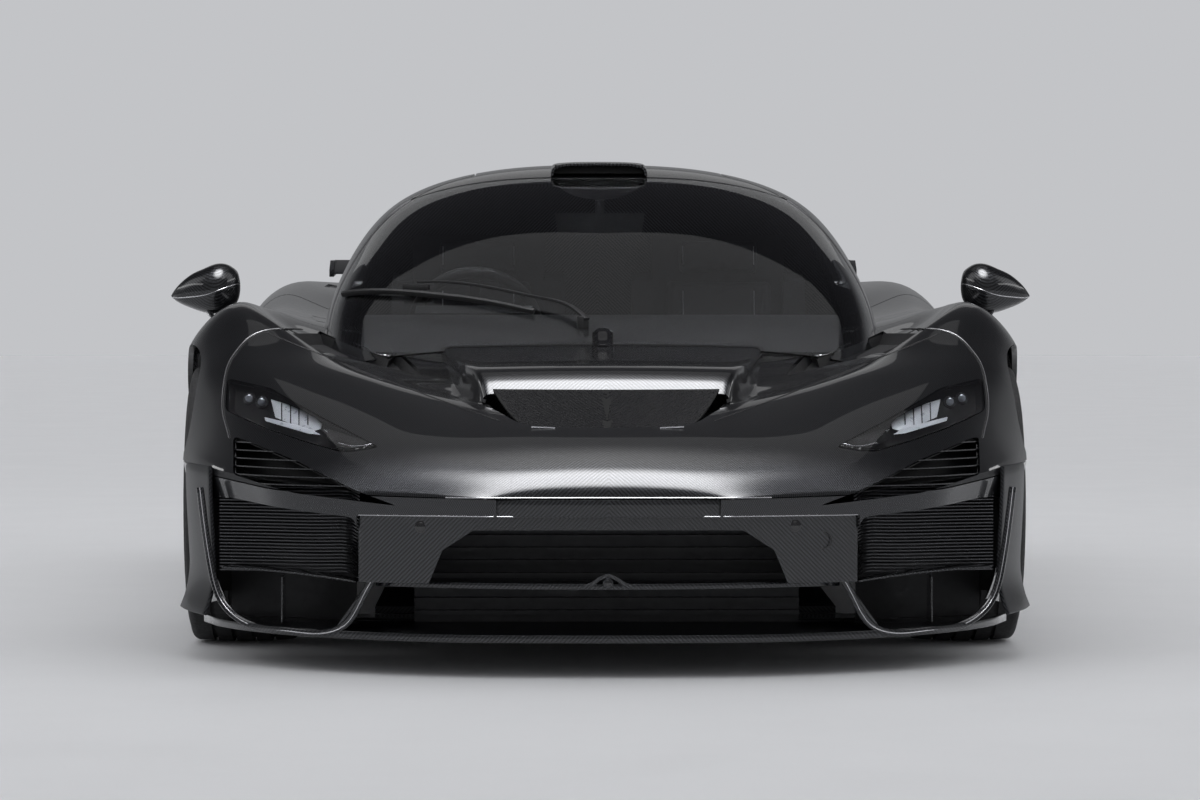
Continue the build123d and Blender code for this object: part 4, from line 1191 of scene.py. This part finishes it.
# the black print round the glass lies behind it
header = screenLook["header"]
shroudTop = header - screenLook["shroudTop"]
shroudYs = spread(shroudTop - screenLook["shroudLong"], shroudTop - 2, 10)
frits = [skinPanel("frit", canopy, screenYs, screenSide, fritSide, 3),
         skinPanel("frit", canopy, spread(header - screenLook["headerFrit"], header, 3), screenSide, 4, 24),
         skinPanel("frit", canopy, shroudYs, shroudEdge, 4, 10)]
frit = outward(mirrorMerge(joined("screenFrit", frits)))
edited(frit, lambda: bpy.ops.transform.shrink_fatten(value=-screenLook["fritBehind"] * 0.001))
onShell(smooth(thick(frit, screenLook["fritWall"])), "deep", "trim")


def roofSide(y, at):
    return hingeSide(y, at, -2.5, -2.5)


pillars = skinPanel("pillars", canopy, spread(-1000, header - 1, 44), roofSide, screenSide, 4)
faceOut(pillars, (0, -300, 700))
pillars = thick(pillars, screenLook["pillarWall"], even=False)
roof = skinPanel("roof", canopy, spread(header, car["roofEnd"], 24), roofSide, 4, 26)
roof = thick(outward(mirrorMerge(roof)), screenLook["roofWall"], even=False)
onShell(bothSides(smooth(pillars, 30)), "gloss", "carbon")
onShell(smooth(bevel(roof, 2), 35), "skin", "carbon", "cabin_frame")
# a grey painted highlight line along each pillar's edge by the door
edgeLine = []
for y in spread(-900, header, 40):
    x, y, z = canopy(y)(hingeSide(y, canopy(y), -3.5, -2.5))
    edgeLine.append((x, y, z + 1))
twinLine("pillarEdge", edgeLine, 1.6)

# the air scoop on the roof: y, then x and z from its foot to its middle
scoopLook = {
    "rows": [(-16, 129, 1143.5, 124, 1162.5, 100, 1173.5, 50, 1176.5, 0, 1177.5),
             (60, 129, 1147.5, 125, 1169.5, 100, 1178.5, 50, 1181, 0, 1181.5),
             (250, 128, 1147.5, 124, 1173.5, 98, 1179.5, 50, 1182, 0, 1182.5),
             (445, 122, 1137.5, 118, 1167.5, 92, 1174.5, 50, 1177.5, 0, 1178.5)],
    "wall": 7,
    # corners of the near-black box of painted shade in the scoop's mouth
    "dark": [(-118, -8, 1150), (118, 4, 1172)],
}
scoop = skinPanel("roofScoop", surfaceFrom(scoopLook["rows"]), spread(-20, 445, 20), 0, 4, 20)
scoop = thick(outward(mirrorMerge(scoop)), scoopLook["wall"], even=False)
onShell(smooth(bevel(scoop, 1.5)), "skin", "carbon")
# a near-black box filling the scoop's mouth: painted shade of the intake's depth
onShell(boxMesh("scoopMouthShade", *scoopLook["dark"]), "deep", "trim")

# wiper, set out in the camera's frame
wiperLook = {
    "blade": [(324, 301), (345, 296.5), (365, 294.5), (391, 294.5), (430, 297.5), (473, 302.5), (534, 314.5)],
    "arm": [(587, 327), (578, 319), (564, 311), (538, 305), (495, 296), (439, 289.5), (418, 289.8)],
    "clip": [(404, 293), (430, 293)],
    "pivot": (583, 325),
    "rubber": [(-3, -7), (3, -7), (7, 3), (2, 8), (-2, 8), (-7, 3)],
}
wiper = [sweep("wiper", finer(seenOn(screenTree, wiperLook["blade"], 8), 4), wiperLook["rubber"]),
         sweep("wiper", finer(seenOn(screenTree, wiperLook["arm"], 22), 4), flat(15, 7)),
         sweep("wiper", seenOn(screenTree, wiperLook["clip"], 17), flat(20, 16))]
x, y, z = seenOn(screenTree, [wiperLook["pivot"]], 10)[0]
wiper.append(bevel(rodMesh("wiper", (x, y, z - 22), (x, y, z + 14), 15, 32), 3))
onShell(smooth(bevel(joined("wiperArm", wiper), 1.2)), "matte", "trim")
print("glasshouse made")

# door mirrors: a drop pointing outward on a thin stalk; x, z, depth and half height along it
mirrorLook = {
    "pod": [(1103, 828, 3, 2), (1094, 831, 16, 13), (1078, 835, 34, 27), (1050, 840, 52, 44),
            (1020, 842, 66, 56), (990, 846, 72, 64), (962, 850, 68, 60), (943, 852, 54, 48),
            (932, 852, 36, 36), (927, 851, 14, 16), (926, 851, 2, 3)],
    "back": -502,
    "crown": 0.06,
    "rim": 4,
    "stalk": [(1012, -528, 800), (1000, -526, 780), (976, -522, 757), (944, -517, 737), (905, -512, 722)],
    "stalkSize": (44, 11),
    "glassCorner": 12,
    "glass": [(1078, 836), (1050, 868), (1015, 892), (975, 896), (944, 884), (938, 851), (946, 820),
              (975, 803), (1015, 802), (1052, 816)],
}


# a ring that is round ahead and nearly flat behind
def mirrorRing(x, z, deep, high):
    ring, sides = [], 48
    crown = deep * mirrorLook["crown"] + mirrorLook["rim"]
    for k in range(sides + 1):
        a = math.tau * k / sides
        ahead = deep * (1 - mirrorLook["crown"]) * abs(math.cos(a)) ** 0.85 if math.cos(a) < 0 else 0
        behind = min(crown, deep) * abs(math.cos(a)) ** 0.3 if math.cos(a) > 0 else 0
        rise = high * math.copysign(abs(math.sin(a)) ** 0.9, math.sin(a))
        ring.append((x, mirrorLook["back"] - crown + behind - ahead, z + rise))
    return ring


podAt = cubicThrough(range(len(mirrorLook["pod"])), mirrorLook["pod"])
pod = gridFrom("mirrorPod", [mirrorRing(*podAt(t)) for t in spread(0, len(mirrorLook["pod"]) - 1, 50)])
edited(pod, merged(0.00005), fillEnds, facesOut)
podTree = treeOf(pod)
# the mirror pod's seam is drawn as a grey painted highlight line
seam = []
for t in spread(0.4, len(mirrorLook["pod"]) - 1.8, 34):
    x, z, deep, high = podAt(t)
    found = podTree.ray_cast(Vector((x, -900, z - high * (0.62 - 0.1 * t))) / 1000, Vector((0, 1, 0)))
    if found[0]:
        seam.append(tuple(found[0] * 1000))
seamLine = bead("mirrorSeam", seam, 1.5)
stalk = bevel(sweep("mirrorStalk", finer(mirrorLook["stalk"]), flat(*mirrorLook["stalkSize"])), 3)
glassPlate = outlineSolid("mirrorGlassPlate", "y", mirrorLook["back"] - 3, mirrorLook["back"] + 2.5,
                          rounded(mirrorLook["glass"], mirrorLook["glassCorner"]))
podLeft = smooth(joined("mirrorLeft", [pod, stalk]), 45)
parts = [(podLeft, "skin", "carbon", ["mirror"]), (seamLine, "edge", "carbon", []),
         (smooth(bevel(glassPlate, 0.8)), "mirror", "mirror", ["mirror_glass"])]
for obj, material, slotName, named in parts:
    for piece, side in ((obj, "left"), (mirrored(obj, obj.name + "Right"), "right")):
        replaced = [node + "_" + side for node in named]
        finishPiece(piece, bodyOf["mirror_" + side], mats[material], slotName, *replaced)
print("mirrors made")

# the window as y, z
doorLook = {
    "window": [(-560, 838), (300, 852), (252, 960), (140, 1062), (-20, 1094), (-300, 1094), (-560, 1000)],
    "foot": 236,
    "wall": 40,
    "frameWall": 24,
    "pane": 4,
    "corner": 40,
    "reach": (300, 900),
}
doorYs = spread(*car["doors"], 46)


def doorFoot(y, at):
    return crossing(at, lambda p: p[2] - doorLook["foot"], 0, 1)


lower = skinPanel("doorLeft", hull, doorYs, doorFoot, 5.15, 44)
lower = thick(outward(lower), doorLook["wall"])
upper = skinPanel("doorUpper", canopy, doorYs, 0.35, lambda y, at: hingeSide(y, at, 5, 2.5), 34)
upper = thick(outward(upper), doorLook["frameWall"])
windowTool = rounded(doorLook["window"], doorLook["corner"], 6)
boolean(upper, outlineSolid("windowTool", "x", *doorLook["reach"], windowTool))
doorLeft = smooth(joined("doorLeft", [lower, upper]), 30)
pane = skinPanel("windowLeft", canopy, doorYs, 0.75, lambda y, at: hingeSide(y, at, 12, 10), 30)
pane = thick(outward(pane), doorLook["pane"])
boolean(pane, outlineSolid("windowTool", "x", *doorLook["reach"], windowTool), "INTERSECT")
smooth(pane)
for obj, twin, material, slotName, node in ((doorLeft, "doorRight", "skin", "carbon", "door_"),
                                            (pane, "windowRight", "glass", "window_glass", "window_")):
    for piece, side in ((obj, "left"), (mirrored(obj, twin), "right")):
        finishPiece(piece, "door_" + side, mats[material], slotName, node + side)
print("doors made")

tailLook = {
    "intake": [(500, 690), (712, 682), (694, 520), (690, 380), (486, 330)],
    "under": [(1742, -60), (1742, 165), (2262, 330), (2262, -60)],
    "lid": [(-267, 737.5), (267, 737.5), (267, 1707.5), (-267, 1707.5)],
    "intakeCorner": 26,
    "wall": 12,
    "topWall": 16,
    "trim": [2236.5, 2239.5, 2242.4],
    "trimWall": 13.4,
    "trimBack": 0.7,
}
tailHull = skinPanel("rearClam", hull, spread(*car["rearClam"], 84), 0, 6, 60)
tailHull = thick(outward(mirrorMerge(tailHull)), tailLook["wall"])
boolean(tailHull, archTool(*car["rearArch"]))
intake = rounded(tailLook["intake"], tailLook["intakeCorner"])
for side in (-1, 1):
    boolean(tailHull, outlineSolid("intakeTool", "x", side * 780, side * 1100, intake))
boolean(tailHull, outlineSolid("underTool", "x", -1200, 1200, tailLook["under"]))
tailTop = skinPanel("tailTop", canopy, spread(car["rearClam"][0], 2190, 70), 0.4, 4, 32)
tailTop = thick(outward(mirrorMerge(tailTop)), tailLook["topWall"])
boolean(tailTop, outlineSolid("lidTool", "z", 600, 1300, tailLook["lid"]))
onShell(smooth(joined("rearClam", [tailHull, tailTop]), 30), "skin", "carbon", "rear_clam")
tailTrim = outward(mirrorMerge(skinPanel("tailTrim", hull, tailLook["trim"], 0, 6, 60)))
tailTrim = thick(tailTrim, tailLook["trimWall"], -0.9)
boolean(tailTrim, outlineSolid("underTool", "x", -1200, 1200, tailLook["under"]))
tailTrim.data.transform(Matrix.Translation(mm(0, tailLook["trimBack"], 0)))
onShell(smooth(tailTrim), "gloss", "trim")
print("tail made")

for node in ("splitter", "front_blade", "duct_blades", "side_skirts", "diffuser"):
    dressed(node, "carbon", 1.5)
dressed("rear_wing", "satinCarbon", 1.5)
dressed("front_fascia", "carbon", 0, 24, False)
for node in ("radiators", "tub", "undertray", "arch_liners", "engine",
             "dashboard", "steering_column", "cabin_mirror", "front_links", "rear_links", "knuckle_left",
             "knuckle_right", "intake_screens", "tail_panel", "tail_lights", "exhaust_tips", "engine_cover",
             "seats", "steering_wheel"):
    dressed(node)
for side in ("left", "right"):
    for end in ("front", "rear"):
        for piece in ("rim", "tyre", "disc"):
            dressed(f"{piece}_{end}_{side}")
print("CAD pieces dressed")

# each pad's middle line as y, z, then its width and depth
padLook = {"voxel": 0.006, "pressure": 4.0, "frames": 20, "cap": 9, "seatX": 325, "stitch": 96}
padShapes = {
    "seatPad": ([(-412, 352), (-390, 358), (-300, 340), (-200, 318), (-90, 304), (0, 302)], 312, 46),
    "backPad": ([(52, 372), (74, 440), (108, 560), (148, 690), (184, 800), (204, 862)], 300, 44),
    "headPad": ([(196, 882), (206, 920), (216, 968)], 210, 40),
}


def puffed(obj):
    remesh = obj.modifiers.new("Even mesh", "REMESH")
    remesh.mode, remesh.voxel_size = "VOXEL", padLook["voxel"]
    applyAll(obj)
    before = [v.co.copy() for v in obj.data.vertices]
    cloth = obj.modifiers.new("Filling", "CLOTH")
    cloth.settings.use_pressure = True
    cloth.settings.uniform_pressure_force = padLook["pressure"]
    cloth.settings.effector_weights.gravity = 0
    for number in range(1, padLook["frames"] + 1):
        bpy.context.scene.frame_set(number)
    applyAll(obj)
    bpy.context.scene.frame_set(1)
    for vertex, old in zip(obj.data.vertices, before):
        moved = vertex.co - old
        if moved.length > padLook["cap"] / 1000:
            vertex.co = old + moved * (padLook["cap"] / 1000 / moved.length)
    obj.modifiers.new("Soft", "SUBSURF").levels = 1
    return applyAll(obj)


for name, (path, wide, deep) in padShapes.items():
    line = finer([(padLook["seatX"], y, z) for y, z in path], 5)
    pad = sweep(name, line, flat(wide, deep))
    pad = puffed(bevel(pad, deep * 0.42, 4, 30))
    padTree = treeOf(pad)
    seams = []
    for x in (padLook["seatX"] - padLook["stitch"], padLook["seatX"] + padLook["stitch"]):
        spots = []
        for a, b in zip(line, line[1:]):
            way = (Vector(b) - Vector(a)).normalized()
            out = Vector((0, -way.z, way.y))
            found = padTree.ray_cast((Vector((x, a[1], a[2])) + out * 90) / 1000, -out)
            if found[0]:
                spots.append(tuple(found[0] * 1000))
        seams.append(bead(name + "Seam", spots[1:-1], 1.6))
    seamLines = joined(name + "Seams", seams)
    smooth(pad, 60)
    for piece in (pad, mirrored(pad, name + "Right")):
        onShell(piece, "suede", "seat")
    onShell(bothSides(seamLines), "stitch", "seat")
cabinLook = {"display": [(-430, -395, 690), (-240, -389, 765)]}
onShell(bevel(boxMesh("driverDisplay", *cabinLook["display"]), 2), "gloss", "trim")
print("cabin made")

# wheel nut and rim edge, from the CAD pieces' own places
# the nut's parts: from and to beside the hub's face, radius, sides, edge; hub: how deep its face lies
wheelLook = {
    "nut": [(-40, 0, 27, 6, 3), (-40, -18, 38, 40, 2), (-4, 2, 14, 32, 1.5)],
    "hub": {"front": 46, "rear": 60},
    "edge": (7, 0.6, 1.6),
}
for side, way in (("left", 1), ("right", -1)):
    for end, deep in wheelLook["hub"].items():
        rim = f"rim_{end}_{side}"
        corners = np.array([tuple(v.co) for v in nodes[rim].data.vertices]) * 1000
        low, high = corners.min(0), corners.max(0)
        y, z = (low[1] + high[1]) / 2, (low[2] + high[2]) / 2
        face = high[0] if way > 0 else low[0]
        hub = face - way * deep
        nut = []
        for a, b, radius, sides, edge in wheelLook["nut"]:
            part = rodMesh("wheelNut", (hub + way * a, y, z), (hub + way * b, y, z), radius, sides)
            nut.append(bevel(part, edge))
        nut = smooth(joined(f"wheelNut_{end}_{side}", nut), 35)
        inset, sunk, thickness = wheelLook["edge"]
        radius = (high[2] - low[2]) / 2 - inset
        ring = [(face - way * sunk, b, c) for b, _, c in circleXZ(y, 0, z, radius, 120)]
        rimEdge = bead(f"rimEdge_{end}_{side}", ring, thickness, True, 4)
        for obj in (nut, rimEdge):
            finishPiece(obj, bodyOf[rim], mats["metal"], "rim")
print("wheels made")

# the tail lamps' line as x, z
rearLook = {
    "slats": spread(384, 520, 9),
    "slatHalf": 640,
    "face": 2213,
    "lamp": [(330, 778), (640, 784), (846, 748), (864, 692)],
    "lampFace": 2229.5,
    "lampLine": 3.2,
}
half, face = rearLook["slatHalf"], rearLook["face"]
slats = [boxMesh("rearSlat", (-half, face, z - 2), (half, face + 12, z + 2)) for z in rearLook["slats"]]
onShell(bevel(joined("rearSlats", slats), 0.8), "ribs", "mesh")
meshLook = {"rows": 13, "low": 545, "rise": 16.5, "pitch": 22, "half": 600, "steps": 56, "zig": 5}
mesh = []
for row in range(meshLook["rows"]):
    z = meshLook["low"] + row * meshLook["rise"]
    shift = meshLook["pitch"] / 2 if row % 2 else 0
    zig = [(x + shift, face + 4, z + (meshLook["zig"] if k % 2 else -meshLook["zig"]))
           for k, x in enumerate(spread(-meshLook["half"], meshLook["half"], meshLook["steps"]))]
    mesh.append(sweep("rearMesh", zig, flat(2.4, 2.4)))
onShell(joined("rearMesh", mesh), "ribs", "mesh")
pipeLook = {"across": 66, "radius": 58, "end": 2238, "height": 590, "lip": 3.4}
lips = []
for x in (-pipeLook["across"], pipeLook["across"]):
    ring = circleXZ(x, pipeLook["end"], pipeLook["height"], pipeLook["radius"], 64)
    lips.append(bead("pipeLip", ring, pipeLook["lip"], True, 6))
onShell(joined("exhaustLips", lips), "exhaust", "exhaust")
lampPath = [(x, rearLook["lampFace"], z) for x, z in rearLook["lamp"]]
twinLine("lampGlow", lampPath, rearLook["lampLine"], "glowRed", "tail_lamp")
print("rear end made")

stageLook = {
    "floor": (0.66, 0.665, 0.68),
    "pale": (0.545, 0.552, 0.572),
    "horizon": (0.2, 0.203, 0.21),
    "ceiling": (0.03, 0.03, 0.034),
    "fill": (0.78, 0.785, 0.8),
    # direction, full within and gone beyond so many degrees, brightness, squeeze across
    "glows": [((0, -0.34, 0.94), 5, 34, 13, 1.6), ((0, -0.3, 0.5), 18, 62, 0.22, 1),
              ((0.9, -0.1, 0.6), 6, 26, 0.9, 1), ((-0.9, -0.1, 0.6), 6, 26, 0.9, 1)],
    # where each light is and aims, its width, height and power
    "lights": {
        "left strip": ((4.5, -0.6, 2.6), (0, 0, 0.5), 6.0, 0.5, 22),
        "right strip": ((-4.5, -0.6, 2.6), (0, 0, 0.5), 6.0, 0.5, 22),
        "rear strip": ((0, 6.0, 3.2), (0, 1.5, 0.6), 5.0, 1.6, 5),
        "overhead": ((0, 0, 5.5), (0, 0, 0), 5.0, 7.0, 16),
        "nose box": ((0, -1.75, 2.3), (0, -1.749, 0), 2.3, 2.4, 22),
    },
}
bpy.ops.mesh.primitive_plane_add(size=60, location=(0, 0, -0.0005))
floor = bpy.context.active_object
floor.name = "floor"
floor.data.materials.append(grained(newMaterial("Studio floor", stageLook["floor"], 0, 0.75), 3, 0.6, 0.8))

# pale round the horizon and darker overhead where it is seen or mirrored, even for soft light
world = bpy.data.worlds.new("Studio")
bpy.context.scene.world = world
world.use_nodes = True
tree = world.node_tree
coords = addNode(tree, "ShaderNodeTexCoord").outputs["Generated"]
height = addNode(tree, "ShaderNodeSeparateXYZ", {0: coords}).outputs[2]
rise = addNode(tree, "ShaderNodeMapRange", {"Value": height, "From Min": 0.1, "From Max": 0.42},
               interpolation_type="SMOOTHSTEP")


def skyMix(factor, a, b, **kind):
    node = addNode(tree, "ShaderNodeMix", {"Factor": factor}, data_type="RGBA", **kind)
    return feed(tree, node, {"A": a, "B": b}).outputs["Result"]


sky = skyMix(rise.outputs["Result"], (*stageLook["horizon"], 1), (*stageLook["ceiling"], 1))
for spot, inner, outer, bright, narrow in stageLook["glows"]:
    wide = vectorNode(tree, "MULTIPLY", coords, (narrow, 1, 1))
    unit = vectorNode(tree, "NORMALIZE", wide["Vector"])
    toward = vectorNode(tree, "DOT_PRODUCT", unit["Vector"], Vector(spot).normalized())
    soft = addNode(tree, "ShaderNodeMapRange", {
        "Value": toward["Value"],
        "From Min": math.cos(math.radians(outer)), "From Max": math.cos(math.radians(inner)),
    }, interpolation_type="SMOOTHERSTEP")
    sky = skyMix(soft.outputs["Result"], sky, (bright, bright * 1.005, bright * 1.02, 1), blend_type="ADD")
path = addNode(tree, "ShaderNodeLightPath").outputs
seen = mathNode(tree, "MAXIMUM", path["Is Glossy Ray"], path["Is Transmission Ray"])
shown = skyMix(seen, (*stageLook["fill"], 1), sky)
shown = skyMix(path["Is Camera Ray"], shown, (*stageLook["pale"], 1))
feed(tree, tree.nodes["Background"], {"Color": shown})


def areaLight(name, spot, target, width, height, power):
    data = bpy.data.lights.new(name, "AREA")
    data.shape, data.size, data.size_y, data.energy = "RECTANGLE", width, height, power
    obj = bpy.data.objects.new(name, data)
    bpy.context.scene.collection.objects.link(obj)
    obj.location = spot
    obj.rotation_euler = (Vector(target) - Vector(spot)).to_track_quat("-Z", "Y").to_euler()
    return obj


lights = {name: areaLight(name, *values) for name, values in stageLook["lights"].items()}

# the panel over the nose has a soft edge and is only seen mirrored
noseBox = lights["nose box"]
noseBox.visible_camera = noseBox.visible_diffuse = False
noseBox.data.use_nodes = True
t = noseBox.data.node_tree
place = addNode(t, "ShaderNodeNewGeometry").outputs["Parametric"]
away = vectorNode(t, "DISTANCE", place, (0.5, 0.5, 0))["Value"]
fade = addNode(t, "ShaderNodeMapRange", {"Value": away, "From Min": 0.5, "From Max": 0.05},
               interpolation_type="SMOOTHERSTEP")
feed(t, t.nodes["Emission"], {"Strength": fade.outputs["Result"]})

data = bpy.data.cameras.new("camera")
data.lens, data.sensor_width = cameraLook["lens"], cameraLook["sensor"]
data.clip_start, data.clip_end = 0.1, 100
camera = bpy.data.objects.new("camera", data)
bpy.context.scene.collection.objects.link(camera)
camera.location = cameraLook["spot"]
camera.rotation_euler = viewTurn()
bpy.context.scene.camera = camera
bpy.context.scene.view_settings.view_transform = "Standard"
